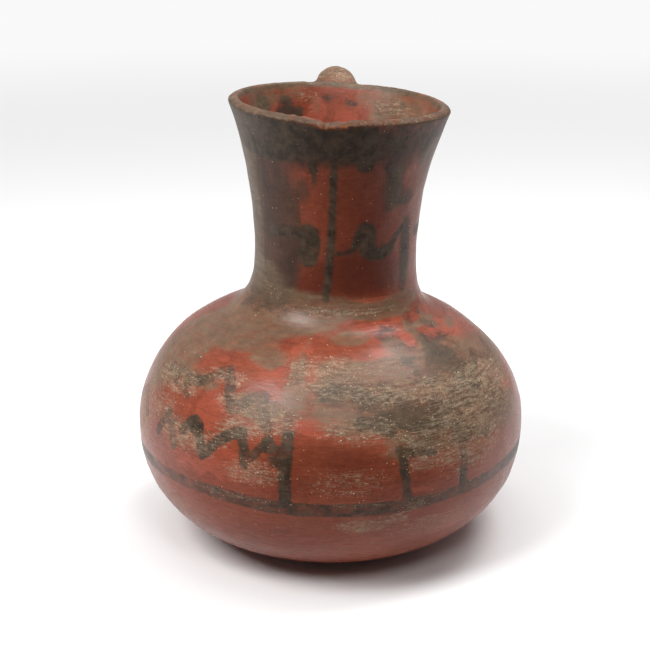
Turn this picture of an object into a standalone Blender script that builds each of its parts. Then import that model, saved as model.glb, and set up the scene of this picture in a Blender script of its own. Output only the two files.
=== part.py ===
"""A hand-built earthenware jug with one strap handle.

The squat round belly stands on a small flat base. The neck leans a little to one side and flares to a
lip, which is chipped and worn down at the front. The strap handle rises from the back of the lip, a
finger's breadth over it, and comes down on the shoulder. It is all one piece of fired clay, hollow and
open at the mouth. The jug stands on the XY plane with +Z up, its front towards -Y and its handle
towards +Y, and the origin is the middle of the flat base.
"""

import math

import bmesh
import bpy
from mathutils import Matrix, Vector
from mathutils.geometry import interpolate_bezier

# Belly and shoulder, in metres
BASE_FLAT_RADIUS = 0.0194
BELLY_RADIUS = 0.08065
BELLY_HEIGHT = 0.0505
BELLY_FULLNESS = 2.26
SHOULDER_CROWN_RADIUS = 0.0152
SHOULDER_RISE = 0.0522

# Neck and lip
NECK_FOOT_RADIUS = 0.0448
NECK_RADIUS = 0.0331
NECK_WAIST_HEIGHT = 0.1196
NECK_ROOT_INWARD = 0.81
NECK_ROOT_UPWARD = 0.465
FLARE_POWER = 2.18
LIP_RADIUS = 0.0442
LIP_HEIGHT = 0.1827
LIP_CREST = 0.0014

# Thickness of the clay
BASE_WALL = 0.0070
BELLY_WALL = 0.0052
LIP_WALL = 0.0042

# Strap handle
HANDLE_WIDTH = 0.0160
HANDLE_THICKNESS = 0.0120
HANDLE_RISE = 0.0061
HANDLE_START_RADIUS = 0.0320
HANDLE_START_DROP = 0.0110
HANDLE_START_SLOPE = math.radians(42)
HANDLE_CREST_RADIUS = 0.0515
HANDLE_REACH = 0.0690
HANDLE_BACK_HEIGHT = 0.1500
HANDLE_FOOT_RADIUS = 0.0620
HANDLE_LIP_SPREAD = 0.0040
HANDLE_FOOT_SPREAD = 0.0022
HANDLE_CROWN = 0.12
HANDLE_SIDE = -0.0010
HANDLE_SEAT_DEPTH = 0.0030

# What the potter's hands and wear have done to it
NECK_LEAN = math.radians(1.35)
LEAN_PIVOT_HEIGHT = 0.0454
LEAN_START_HEIGHT = 0.0910
LEAN_BLEND = 0.0160
LIP_DIP = math.radians(1.55)
SHOULDER_SLUMP = 0.0014
SLUMP_HEIGHT = 0.092
SLUMP_SPAN = 0.016
CHIP_DEPTH = 0.0014
CHIP_REACH = 0.0060
CHIP_AZIMUTH = math.radians(-5.0)
CHIP_HALF_ANGLE = math.radians(14.0)

# How finely round surfaces are divided
TURN_STEPS = 60
BELLY_POINTS = 10
SHOULDER_POINTS = 8
NECK_ROOT_POINTS = 6
FLARE_POINTS = 7
LIP_POINTS = 4
HANDLE_STATIONS = 6
HANDLE_SIDES = 14

FIRED_CLAY = (0.36, 0.115, 0.075, 1.0)


def clear_scene():
    for obj in list(bpy.data.objects):
        bpy.data.objects.remove(obj, do_unlink=True)


def collection_named(name, hidden=False):
    made = bpy.data.collections.new(name)
    bpy.context.scene.collection.children.link(made)
    made.hide_render = hidden
    return made


def smooth_share(value):
    """0 below 0, 1 above 1, and a smooth rise between."""
    share = min(max(value, 0.0), 1.0)
    return share * share * (3 - 2 * share)


def bulge(centre_radius, half_width, half_height, fullness, start, end, steps):
    """Points (radius, height) along a full or true ellipse's arc round the belly's height, from one
    angle to another, both ends included. A fullness of 2 gives a true ellipse."""
    points = []
    for i in range(steps + 1):
        angle = start + (end - start) * i / steps
        across = abs(math.cos(angle)) ** (2 / fullness)
        up = math.copysign(abs(math.sin(angle)) ** (2 / fullness), angle)
        points.append(Vector((centre_radius + half_width * across, BELLY_HEIGHT + half_height * up)))
    return points


def curve_points(a, b, c, d, steps):
    """Points of a Bezier curve in the (radius, height) plane, both ends included."""
    ends = [point.to_3d() for point in (a, b, c, d)]
    return [point.to_2d() for point in interpolate_bezier(*ends, steps + 1)]


def outer_outline():
    """The outside of the wall, from the middle of the base up to the lip, as (radius, height)."""
    quarter = math.pi / 2
    belly_width = BELLY_RADIUS - BASE_FLAT_RADIUS
    belly = bulge(
        BASE_FLAT_RADIUS, belly_width, BELLY_HEIGHT, BELLY_FULLNESS, -quarter, 0.0, BELLY_POINTS
    )
    shoulder_width = BELLY_RADIUS - SHOULDER_CROWN_RADIUS
    foot_angle = math.acos((NECK_FOOT_RADIUS - SHOULDER_CROWN_RADIUS) / shoulder_width)
    shoulder = bulge(
        SHOULDER_CROWN_RADIUS, shoulder_width, SHOULDER_RISE, 2.0, 0.0, foot_angle, SHOULDER_POINTS
    )

    foot = shoulder[-1]
    rising = SHOULDER_RISE * math.cos(foot_angle)
    along_shoulder = Vector((-shoulder_width * math.sin(foot_angle), rising)).normalized()
    waist = Vector((NECK_RADIUS, NECK_WAIST_HEIGHT))
    onto_neck = foot + along_shoulder * NECK_ROOT_INWARD * (foot.x - waist.x)
    up_the_neck = waist - Vector((0.0, NECK_ROOT_UPWARD * (waist.y - foot.y)))
    neck_root = curve_points(foot, onto_neck, up_the_neck, waist, NECK_ROOT_POINTS)

    flare = []
    lip_end_height = LIP_HEIGHT - LIP_CREST
    for i in range(1, FLARE_POINTS + 1):
        share = i / FLARE_POINTS
        radius = NECK_RADIUS + (LIP_RADIUS - NECK_RADIUS) * share**FLARE_POWER
        height = NECK_WAIST_HEIGHT + (lip_end_height - NECK_WAIST_HEIGHT) * share
        flare.append(Vector((radius, height)))

    centre = Vector((0.0, 0.0))
    return [centre] + belly + shoulder[1:] + neck_root[1:] + flare


def wall_at(height):
    """Thickness of the clay at a height of its outside."""
    if height < BELLY_HEIGHT:
        return BASE_WALL + (BELLY_WALL - BASE_WALL) * height / BELLY_HEIGHT
    share = (height - BELLY_HEIGHT) / (LIP_HEIGHT - BELLY_HEIGHT)
    return BELLY_WALL + (LIP_WALL - BELLY_WALL) * min(share, 1.0)


def sunk_outline(outline, left=0.0):
    """The outline moved into the clay by its thickness there, less what is left."""
    moved = []
    for i, point in enumerate(outline):
        before = outline[max(i - 1, 0)]
        after = outline[min(i + 1, len(outline) - 1)]
        along = (after - before).normalized()
        inward = Vector((-along.y, along.x))
        moved.append(point + inward * (wall_at(point.y) - left))
    moved[0].x = 0.0
    return moved


def lip_outline(inner_end, outer_end):
    """The rounded crest between the wall's two faces, without its ends."""
    middle = (inner_end + outer_end) / 2
    across = inner_end - middle
    upward = Vector((across.y, -across.x)).normalized() * LIP_CREST
    points = []
    for i in range(1, LIP_POINTS):
        angle = math.pi * i / LIP_POINTS
        points.append(middle + across * math.cos(angle) + upward * math.sin(angle))
    return points


def turned_object(name, section, collection):
    """A section in the XZ plane, given from its top or inner end to its bottom, turned about Z."""
    mesh = bpy.data.meshes.new(name)
    points = [(point.x, 0.0, point.y) for point in section]
    mesh.from_pydata(points, [(i, i + 1) for i in range(len(points) - 1)], [])
    obj = bpy.data.objects.new(name, mesh)
    collection.objects.link(obj)
    screw = obj.modifiers.new("turn", "SCREW")
    screw.axis = "Z"
    screw.angle = math.tau
    screw.steps = TURN_STEPS
    screw.render_steps = TURN_STEPS
    screw.use_merge_vertices = True
    screw.merge_threshold = 0.00005
    return obj


def make_wall(outline, inside, collection):
    """The hollow vessel, from the middle of its inner floor over the lip to the middle of its base."""
    crest = lip_outline(inside[-1], outline[-1])
    section = inside + crest + list(reversed(outline))
    return turned_object("vessel_wall", section, collection)


def make_core(outline, collection):
    """What the handle may not reach into: the hollow, grown a little into the clay and carried on up
    past the lip, so that the handle's ends stop inside the wall."""
    sunk = sunk_outline(outline, HANDLE_SEAT_DEPTH)
    rise = LIP_HEIGHT + 2 * (HANDLE_RISE + HANDLE_THICKNESS) - sunk[-1].y
    slope = (sunk[-1].x - sunk[-2].x) / (sunk[-1].y - sunk[-2].y)
    top = Vector((sunk[-1].x + slope * rise, sunk[-1].y + rise))
    middle = Vector((0.0, top.y))
    return turned_object("core", [middle, top] + list(reversed(sunk)), collection)


def point_on(outline, radius, above):
    """Where the outside has this radius, at the first place that is above a height."""
    for low, high in zip(outline, outline[1:]):
        nearest, farthest = sorted((low.x, high.x))
        if low.y >= above and nearest <= radius <= farthest:
            share = (radius - low.x) / (high.x - low.x)
            return low.lerp(high, share)
    raise ValueError("the shoulder has no such radius")


def handle_path(outline):
    """The strap's centre line as (distance behind the axis, height): out of the back of the lip, over
    its crest, down behind the neck and into the shoulder."""
    start = Vector((HANDLE_START_RADIUS, LIP_HEIGHT - HANDLE_START_DROP))
    crest = Vector((HANDLE_CREST_RADIUS, LIP_HEIGHT + HANDLE_RISE - HANDLE_THICKNESS / 2))
    back = Vector((HANDLE_REACH - HANDLE_THICKNESS / 2, HANDLE_BACK_HEIGHT))
    foot = point_on(outline, HANDLE_FOOT_RADIUS, BELLY_HEIGHT)
    foot.y -= 2 * BELLY_WALL

    reach = (crest.x - start.x) / 2
    leaving = start + Vector((reach, reach * math.tan(HANDLE_START_SLOPE)))
    rise = curve_points(start, leaving, crest - Vector((reach, 0.0)), crest, HANDLE_STATIONS)
    round_x = Vector(((back.x - crest.x) * 0.56, 0.0))
    round_y = Vector((0.0, (crest.y - back.y) * 0.44))
    over = curve_points(crest, crest + round_x, back + round_y, back, HANDLE_STATIONS)
    drop = back.y - foot.y
    hanging = back - Vector((0.0, 0.45 * drop))
    landing = foot + Vector((0.10 * drop, 0.35 * drop))
    down = curve_points(back, hanging, landing, foot, HANDLE_STATIONS)
    return rise + over[1:] + down[1:]


def make_handle(outline, collection):
    """An oval strap along its path, narrower on its outer face, and spread a little where it was smoothed
    on to the lip and the shoulder."""
    path = handle_path(outline)
    lengths = [0.0]
    for a, b in zip(path, path[1:]):
        lengths.append(lengths[-1] + (b - a).length)
    whole = lengths[-1]
    shaped = bmesh.new()
    rings = []
    for i, centre in enumerate(path):
        along = (path[min(i + 1, len(path) - 1)] - path[max(i - 1, 0)]).normalized()
        inward = Vector((along.y, -along.x))
        to_lip = smooth_share(lengths[i] / (1.8 * HANDLE_WIDTH))
        to_foot = smooth_share((whole - lengths[i]) / (1.8 * HANDLE_WIDTH))
        spread = HANDLE_LIP_SPREAD * (1 - to_lip) + HANDLE_FOOT_SPREAD * (1 - to_foot)
        half_width = HANDLE_WIDTH / 2 + spread
        half_thickness = HANDLE_THICKNESS / 2 + spread / 2
        ring = []
        for j in range(HANDLE_SIDES):
            angle = math.tau * j / HANDLE_SIDES
            place = centre + inward * half_thickness * math.sin(angle)
            across = half_width * math.cos(angle) * (1 + HANDLE_CROWN * math.sin(angle))
            ring.append(shaped.verts.new((HANDLE_SIDE + across, place.x, place.y)))
        rings.append(ring)
    for near, far in zip(rings, rings[1:]):
        for j in range(HANDLE_SIDES):
            k = (j + 1) % HANDLE_SIDES
            shaped.faces.new((near[j], near[k], far[k], far[j]))
    shaped.faces.new(rings[0])
    shaped.faces.new(rings[-1])
    bmesh.ops.recalc_face_normals(shaped, faces=shaped.faces)
    mesh = bpy.data.meshes.new("handle")
    shaped.to_mesh(mesh)
    shaped.free()
    obj = bpy.data.objects.new("handle", mesh)
    collection.objects.link(obj)
    return obj


def combine(obj, other, operation):
    modifier = obj.modifiers.new(other.name, "BOOLEAN")
    modifier.operation = operation
    modifier.solver = "EXACT"
    modifier.object = other


def baked(obj, name, collection):
    """A plain mesh object of what the modifiers give."""
    graph = bpy.context.evaluated_depsgraph_get()
    mesh = bpy.data.meshes.new_from_object(obj.evaluated_get(graph))
    mesh.name = name
    made = bpy.data.objects.new(name, mesh)
    collection.objects.link(made)
    return made


def lean_and_slump(co):
    """A point of the true turned jug, where the soft clay has let it go: the neck leans towards +X, the
    lip dips that way, and the shoulder is fuller on the other side."""
    pivot = Vector((0.0, 0.0, LEAN_PIVOT_HEIGHT))
    above = smooth_share((co.z - LEAN_START_HEIGHT) / LEAN_BLEND)
    moved = pivot + Matrix.Rotation(NECK_LEAN * above, 3, "Y") @ (co - pivot)
    up_the_neck = smooth_share((co.z - NECK_WAIST_HEIGHT) / (LIP_HEIGHT - NECK_WAIST_HEIGHT))
    moved.z -= co.x * math.tan(LIP_DIP) * up_the_neck
    slump = math.exp(-(((co.z - SLUMP_HEIGHT) / SLUMP_SPAN) ** 2))
    on_the_belly = smooth_share(math.hypot(co.x, co.y) / NECK_RADIUS - 1)
    moved.x -= SHOULDER_SLUMP * slump * on_the_belly
    return moved


def worn_lip(co):
    """The same point after the lip has lost its chip at the front."""
    azimuth = math.atan2(co.x, -co.y)
    from_middle = abs(azimuth - CHIP_AZIMUTH) / CHIP_HALF_ANGLE
    across = 1 - smooth_share(from_middle)
    up_the_lip = smooth_share((co.z - LIP_HEIGHT + CHIP_REACH) / CHIP_REACH)
    return Vector((co.x, co.y, co.z - CHIP_DEPTH * across * up_the_lip))


def fired_clay():
    material = bpy.data.materials.new("fired_clay")
    material.use_nodes = True
    shader = material.node_tree.nodes["Principled BSDF"]
    shader.inputs["Base Color"].default_value = FIRED_CLAY
    shader.inputs["Roughness"].default_value = 0.5
    shader.inputs["Metallic"].default_value = 0.0
    return material


def make_jug():
    parts = collection_named("jug")
    helpers = collection_named("cutters", hidden=True)
    outline = outer_outline()
    wall = make_wall(outline, sunk_outline(outline), helpers)
    core = make_core(outline, helpers)
    handle = make_handle(outline, helpers)
    combine(handle, core, "DIFFERENCE")
    combine(wall, handle, "UNION")
    bpy.context.view_layer.update()
    jug = baked(wall, "jug", parts)
    for vertex in jug.data.vertices:
        vertex.co = lean_and_slump(worn_lip(vertex.co))
    jug.data.materials.clear()
    jug.data.materials.append(fired_clay())
    jug.data.shade_smooth()
    jug.data.set_sharp_from_angle(angle=math.radians(40))
    for helper in (wall, core, handle):
        bpy.data.objects.remove(helper, do_unlink=True)
    bpy.data.collections.remove(helpers)


clear_scene()
make_jug()
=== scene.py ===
"""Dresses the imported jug: a hand-built earthenware jug with burnished red slip, worn black painting,
firing clouds, dust in its surface and a chipped lip.

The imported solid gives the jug's size and place. One finely modelled body stands for it here, turned from
the same outline, with its strap handle smoothed on to it. Its painting, clouds and wear are laid out by
azimuth and height on that body. Lengths are in metres except where a name says otherwise.
"""

import math

import bmesh
import bpy
import numpy as np
from bpy.props import FloatProperty, FloatVectorProperty, IntProperty, PointerProperty
from mathutils import Euler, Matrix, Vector, noise
from mathutils.kdtree import KDTree


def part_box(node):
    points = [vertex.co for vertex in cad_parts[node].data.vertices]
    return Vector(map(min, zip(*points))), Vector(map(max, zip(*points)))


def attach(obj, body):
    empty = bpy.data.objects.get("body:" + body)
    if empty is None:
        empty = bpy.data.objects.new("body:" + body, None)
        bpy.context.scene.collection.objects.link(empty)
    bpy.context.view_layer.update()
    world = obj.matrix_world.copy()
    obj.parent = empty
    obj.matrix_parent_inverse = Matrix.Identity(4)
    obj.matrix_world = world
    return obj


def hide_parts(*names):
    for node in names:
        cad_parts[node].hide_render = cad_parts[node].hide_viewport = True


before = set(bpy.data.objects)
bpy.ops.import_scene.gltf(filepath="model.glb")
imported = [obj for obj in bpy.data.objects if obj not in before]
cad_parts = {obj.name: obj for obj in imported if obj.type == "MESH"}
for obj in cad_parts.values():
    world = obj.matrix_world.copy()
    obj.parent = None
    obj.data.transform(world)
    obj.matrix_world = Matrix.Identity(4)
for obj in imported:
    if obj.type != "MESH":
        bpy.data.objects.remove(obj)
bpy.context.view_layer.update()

bl_info = {
    "name": "Ancient Handled Jug",
    "version": (1, 0, 0),
    "blender": (4, 5, 0),
    "location": "3D View > Sidebar > Jug",
    "description": "Models and finishes a hand-built jug with worn painting, and the studio it stands in",
    "category": "Object",
}

CAD_LOW, CAD_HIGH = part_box("jug")

# Shape of the turned body
BELLY_FULLNESS = 2.26
SHOULDER_CROWN_RADIUS = 0.0152
SHOULDER_RISE = 0.0522
NECK_FOOT_RADIUS = 0.0448
NECK_WAIST_HEIGHT = 0.1196
NECK_ROOT_INWARD = 0.81
NECK_ROOT_UPWARD = 0.465
FLARE_POWER = 2.18
BELLY_STEPS = 90
SHOULDER_STEPS = 60
NECK_STEPS = 40
ROW_SPACING = 0.00125
INSIDE_ROW_SPACING = 0.0026

# Shape of the strap handle
HANDLE_START_RADIUS = 0.0320
HANDLE_START_DROP = 0.0110
HANDLE_START_SLOPE = math.radians(42)
HANDLE_CREST_RADIUS = 0.0515
HANDLE_BACK_HEIGHT = 0.1500
HANDLE_FOOT_RADIUS = 0.0620
HANDLE_SIDE = -0.0010
BACK_ROUND_OUTWARD = 0.56
BACK_ROUND_UPWARD = 0.44
HANGING_SHARE = 0.45
LANDING_OUTWARD = 0.10
LANDING_UPWARD = 0.35
HANDLE_SEAT_DEPTH = 0.0030
HANDLE_TOP_LIFT = 0.00020
HANDLE_TOP_SPREAD = 0.00034
HANDLE_ROOT_SHARE = 1.8
STRAP_STEPS = 20
STRAP_SPACING = 0.0016

# How the strap is trimmed inside the wall, and its joints smoothed
CORE_OVER_LIP = 0.040
CORE_STEPS_ROUND = 96
CORE_ROW_SKIP = 4
CREASE_ANGLE = math.radians(24)
JOINT_REACH = 0.0075
JOINT_PASSES = 40
JOINT_GIVE = 0.6
LIP_ROOT_RADIUS = 0.0440
LIP_ROOT_REACH = 0.0150
FOOT_ROOT_HEIGHT = 0.0870
FOOT_ROOT_REACH = 0.0220

# What the soft clay did under its own weight
LEAN_PIVOT_HEIGHT = 0.0454
LEAN_START_HEIGHT = 0.0910
LEAN_BLEND = 0.0160
SHOULDER_SLUMP = 0.0014
SLUMP_HEIGHT = 0.092
SLUMP_SPAN = 0.016

# The chipped front of the lip: (azimuth in degrees, depth as a share of the chip's depth)
CHIP_DEPTHS = [
    (-22, 0), (-17, 0.1), (-14, 0.3), (-11.5, 0.5), (-9, 1), (-5, 0.95), (-1, 0.8), (2.5, 0.66),
    (4.5, 0.25), (7, 0.05), (16, 0), (20, 0.14), (24, 0.02), (30, 0),
]
CHIP_REACH = 0.0060
LIP_FULLNESS = 2.7

# The ragged wear of the lip, as (grains per metre, shift of the grains, depth all round, more at the front)
LIP_WEAR = [(420, (0, 0, 0), 0.00012, 0.00046), (1100, (7, 3, 1), 0.00006, 0.00040)]
LIP_WEAR_SPREAD = 42

# The painting, as (half width in mm, strength, [(azimuth in degrees, height in cm), ...]). Azimuth 0 is the
# front of the jug and 90 is its +X side.
RING = [
    (2.7, 0.78, [(62, 4.4), (90, 4.36), (130, 4.3), (180, 4.3)]),
    (2.7, 0.78, [(-180, 4.3), (-140, 4.36), (-100, 4.3), (-64, 4.27)]),
    (2.5, 0.58, [(-64, 4.27), (-50, 4.33), (-40, 4.36), (-34, 4.36)]),
    (2.9, 0.64, [(-34, 4.36), (-28, 4.34), (-18, 4.24), (-8, 4.21), (0, 4.19), (12, 4.19), (25, 4.21)]),
    (2.5, 0.62, [(25, 4.21), (34, 4.25), (45, 4.31), (62, 4.4)]),
]
PANEL_LINES = [
    (2.4, 0.84, [(-12.3, 4.4), (-12.4, 5.5), (-12, 6.5), (-11.9, 7.2)]),
    (2.4, 0.4, [(-11.9, 7.2), (-11.4, 8.2), (-11, 9.3)]),
    (1.9, 0.8, [(21.4, 4.4), (20.8, 5.2), (20.2, 5.7), (20.2, 6.2), (19.4, 6.45)]),
    (2.1, 0.85, [(39.7, 4.3), (39.6, 5.1)]),
    (1.9, 0.6, [(39.6, 5.1), (39.9, 5.8), (39.8, 6.6), (40.2, 7)]),
    (2.3, 0.85, [(96, 4.4), (96, 5.6), (97, 7.2)]),
    (2.3, 0.75, [(150, 4.4), (151, 5.8), (151, 7.4)]),
    (2.3, 0.8, [(-98, 4.4), (-98, 5.9), (-97, 7.4)]),
    (2.3, 0.7, [(-152, 4.4), (-151, 5.6), (-151, 7)]),
]
LOWER_ZIGZAG = [
    (2.1, 0.66, [(-59.5, 5.85), (-57.5, 6.3), (-55.5, 6.72), (-53.5, 6.45), (-51.5, 6.1), (-50, 5.7)]),
    (2.3, 0.84, [(-47.2, 6.4), (-45, 6.75), (-43, 6.9), (-41, 6.75), (-39.7, 6.2), (-38.2, 5.78),
                 (-36, 6.05), (-33.5, 6.4), (-31, 6.65), (-28, 6.88), (-26, 6.93)]),
    (3.4, 0.85, [(-44.2, 6.72), (-41.6, 6.68)]),
    (2, 0.82, [(-26, 6.93), (-24.9, 6.5), (-24.2, 5.8)]),
    (1.9, 0.72, [(-24, 6), (-21.5, 6.2), (-19.5, 6.5), (-17.4, 6.82), (-16.3, 6.4), (-15.6, 6)]),
    (1.8, 0.7, [(-17.2, 6.7), (-15.2, 6.45), (-12.8, 6.35)]),
]
UPPER_ZIGZAG = [
    (2.5, 0.66, [(-66, 8.1), (-58, 8.12), (-52, 8.08), (-46, 8.18), (-42, 8.48), (-38.5, 8.7),
                 (-35.5, 8.45), (-33, 7.95), (-30.8, 7.62), (-28, 7.8), (-25, 8.05), (-21.5, 8.15),
                 (-20.2, 7.6), (-18.6, 7.22)]),
    (2.2, 0.56, [(-60, 7.86), (-54, 7.8), (-49.5, 7.62)]),
]
RIGHT_BELLY_TRACES = [
    (3, 0.8, [(9.5, 7.42), (14, 7.38), (17.5, 7.12)]),
    (3.2, 0.7, [(17, 7.5), (23, 7.35), (29, 7.05)]),
    (2.4, 0.44, [(0.5, 8.66), (4.5, 8.55), (8, 8.32), (11, 8.25)]),
    (2.3, 0.66, [(23.5, 7.62), (26.5, 7.32), (27.5, 6.75)]),
    (2.7, 0.72, [(22.5, 6.3), (26, 6.42), (29, 6.2)]),
    (2, 0.6, [(29, 6.3), (33.5, 7.1), (38, 7.5), (43, 7)]),
    (2.1, 0.56, [(50, 6.2), (55, 7), (60, 6.5), (66, 7.1)]),
]
SHOULDER_STROKES = [
    (2.3, 0.5, [(50, 10.2), (47.5, 9.75), (47, 9.25), (44, 8.9)]),
]
NECK_LINES = [
    (1.45, 0.92, [(-2.4, 17.9), (-2.5, 16.5), (-2.8, 15.2), (-3.2, 14)]),
    (1.65, 0.95, [(-3.2, 14), (-3.7, 13), (-4.8, 12), (-6, 11.1)]),
    (1.9, 0.84, [(-14.6, 17.4), (-14.8, 16.8), (-14.4, 16.3)]),
    (1.1, 0.8, [(-14.4, 16.3), (-14, 15.75)]),
    (2.4, 0.52, [(52.5, 14), (54, 13), (54, 12), (53, 11.3)]),
    (1.6, 0.84, [(118, 17.6), (118, 14.5), (120, 11.2)]),
    (1.6, 0.84, [(-122, 17.6), (-122, 14.5), (-121, 11.2)]),
]
NECK_FIGURES = [
    (4.4, 0.9, [(-18.6, 13.65), (-17.6, 13.3), (-19.6, 12.75)]),
    (2.5, 0.78, [(-48, 13.55), (-36, 13.66), (-26, 13.62), (-19, 13.6)]),
    (3.6, 0.86, [(14.4, 17.2), (15.2, 16.6)]),
    (2.4, 0.66, [(30.5, 16.5), (34, 16.2), (37, 15.6), (34.5, 14.8)]),
    (1.5, 0.6, [(34, 14.85), (42, 14.95), (52, 15)]),
    (0.9, 0.85, [(-2, 12.97), (6, 12.95), (12, 13.1)]),
    (1.7, 0.88, [(12.6, 13.2), (14.6, 13.75), (18, 14.05), (22.5, 14.02), (25, 13.6)]),
    (3.3, 0.88, [(18.5, 13.5), (21.5, 13.3)]),
    (2.5, 0.9, [(20, 13), (26, 12.86), (33, 12.88), (39, 13.05)]),
    (1.5, 0.8, [(39, 13.1), (44, 13.5), (50, 13.85)]),
    (3.2, 0.84, [(104, 13.5), (98, 13)]),
    (2.2, 0.78, [(98, 13.2), (82, 13.5), (70, 13.4)]),
    (3.2, 0.84, [(-104, 13.4), (-98, 13.1)]),
    (2.2, 0.78, [(-104, 13.5), (-110, 13.8), (-115, 13.5)]),
    (2.2, 0.78, [(-131, 13.1), (-140, 13.7), (-149, 13.1), (-158, 13.6)]),
    (2.2, 0.78, [(128, 13.1), (137, 13.7), (147, 13.1), (157, 13.6)]),
]
LIP_BAND = [
    (4.5, 0.88, [(-180, 17.8), (-60, 17.8), (0, 17.75), (20, 17.78)]),
    (4.5, 0.6, [(20, 17.78), (60, 17.8), (104, 17.8)]),
    (4.5, 0.84, [(104, 17.8), (180, 17.8)]),
    (4.2, 0.84, [(-75, 17), (-40, 16.85), (-20, 17.05), (-3, 17.2), (9, 17.1)]),
    (3, 0.5, [(24, 17.1), (34, 17.2), (58, 17.25)]),
]
BACK_ZIGZAGS = [
    (2.3, 0.78, [(102, 6.2), (108, 6.9), (114, 6.2), (120, 6.9), (126, 6.2), (132, 6.9), (138, 6.2),
                 (144, 6.9)]),
    (2.3, 0.66, [(102, 7.7), (110, 8.5), (118, 7.8), (127, 8.5), (136, 7.8), (145, 8.5)]),
    (2.3, 0.74, [(-104, 6.2), (-110, 6.9), (-116, 6.2), (-122, 6.9), (-128, 6.2), (-135, 6.9),
                 (-142, 6.2)]),
    (2.3, 0.62, [(-104, 7.7), (-113, 8.5), (-122, 7.8), (-131, 8.5), (-140, 7.8)]),
    (2.2, 0.55, [(-90, 6.9), (-84, 6.2), (-77, 6.8), (-70, 6.1)]),
    (2.2, 0.6, [(60, 8.3), (68, 8.6), (76, 8), (84, 8.5)]),
]
STROKES = (RING + PANEL_LINES + LOWER_ZIGZAG + UPPER_ZIGZAG + RIGHT_BELLY_TRACES + SHOULDER_STROKES
           + NECK_LINES + NECK_FIGURES + LIP_BAND + BACK_ZIGZAGS)
STROKE_EDGE = 0.0011

# Clouds and deposits on the outside, as (azimuth in degrees, height in cm, half width in degrees, half
# height in cm, strength)
SOOT = [
    (-64, 15.2, 30, 4.4, 1), (-56, 12.4, 26, 2, 1), (-35, 13.4, 11, 2.9, 0.8), (-22, 17.3, 36, 0.9, 0.95),
    (12, 17.3, 24, 0.7, 0.85), (44, 17.2, 20, 0.8, 0.56), (36, 15.9, 8, 1.1, 0.72),
    (48, 15.1, 10, 0.4, 0.55), (66, 17.2, 14, 1, 0.52), (56, 12.7, 6, 1.5, 0.78), (-22, 15.4, 5, 0.5, 0.55),
    (-95, 14.5, 22, 4, 0.5), (-150, 12, 30, 3.5, 0.45), (120, 16, 30, 2, 0.5), (165, 8.4, 22, 1.2, 0.5),
    (-128, 8.3, 22, 0.8, 0.4), (20, 13.1, 22, 0.5, 0.4), (-14, 13.2, 12, 0.9, 0.35),
    (3, 8.45, 10, 0.3, 0.62), (16, 7.45, 8, 0.34, 0.66), (30, 7.35, 10, 0.55, 0.7),
    (40, 8.95, 12, 0.6, 0.46), (52, 8.5, 10, 0.8, 0.48), (58, 9.3, 12, 0.5, 0.46), (20, 8.1, 8, 0.3, 0.46),
    (30, 9.75, 7, 0.45, 0.48), (64, 9.95, 9, 0.4, 0.42), (40, 6.5, 6, 0.4, 0.5), (32, 8.1, 34, 0.9, 0.34),
    (52, 7.4, 18, 0.9, 0.34), (12, 8.1, 14, 0.6, 0.3),
]
# Tan and olive film of old grime; on the left shoulder and the left edges it is also painted sheen
FILM_AND_SHEEN = [
    (36, 8.1, 40, 1.05, 1), (12, 7.75, 17, 0.75, 0.8), (52, 7, 17, 1, 0.9), (30, 6.75, 13, 0.6, 0.75),
    (74, 8.2, 14, 0.7, 0.7), (22, 6.3, 7, 0.35, 0.6), (40, 5.6, 5, 0.5, 0.45), (70, 6.2, 10, 0.9, 0.45),
    # Film and painted sheen: the pale zones on the left of the belly and on the left shoulder
    (-60, 10.4, 34, 1.1, 1), (-72, 8.9, 18, 1.2, 0.95), (-76, 7.6, 12, 0.8, 0.8),
    (-50, 8.15, 12, 0.28, 0.7), (-30, 10.3, 34, 0.55, 1), (-44, 9.7, 16, 0.45, 0.8),
    (-25, 9.2, 9, 0.3, 0.7), (-27, 7.9, 6, 0.4, 0.6), (-20, 7.7, 6, 0.5, 0.65), (-35, 10.9, 52, 0.4, 1),
    (12, 10.62, 30, 0.26, 0.95), (50, 10.8, 24, 0.3, 0.9), (-62, 11.6, 22, 0.7, 0.9),
    # Film and painted sheen: the pale zones up the left edge of the neck
    (-78, 14.2, 20, 4.2, 0.78), (-76, 16.8, 18, 1.4, 0.9), (-64, 17.7, 20, 0.4, 0.85),
    (40, 10.38, 22, 0.14, 0.85), (30, 9.5, 6, 0.24, 0.8), (46, 9, 28, 0.3, 0.95), (60, 9.82, 16, 0.1, 0.75),
    (46, 9.6, 3, 0.6, 0.8), (66, 9.9, 5, 0.5, 0.6), (78, 9.42, 8, 0.16, 0.7), (10, 9.8, 12, 0.2, 0.75),
    (3, 9.1, 9, 0.3, 0.6), (-11, 8.6, 4, 1, 0.8), (5, 8.6, 10, 0.34, 0.8), (20, 8.9, 10, 0.3, 0.8),
    (-48, 6.4, 5, 0.5, 0.4), (-56, 6.6, 6, 0.5, 0.4), (-100, 10.3, 40, 0.4, 0.7), (130, 10.4, 40, 0.4, 0.7),
    (140, 8.9, 24, 0.6, 0.6), (-130, 7.3, 28, 0.9, 0.5), (100, 8.3, 14, 0.7, 0.6), (160, 5.6, 20, 0.5, 0.4),
    # The zone at azimuth 70 is film and also a painted highlight on the right of the neck
    (70, 16.8, 14, 1, 0.6), (60, 12.2, 12, 0.9, 0.28), (38, 15.6, 6, 1, 0.5), (52, 11.5, 14, 0.5, 0.34),
]
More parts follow.
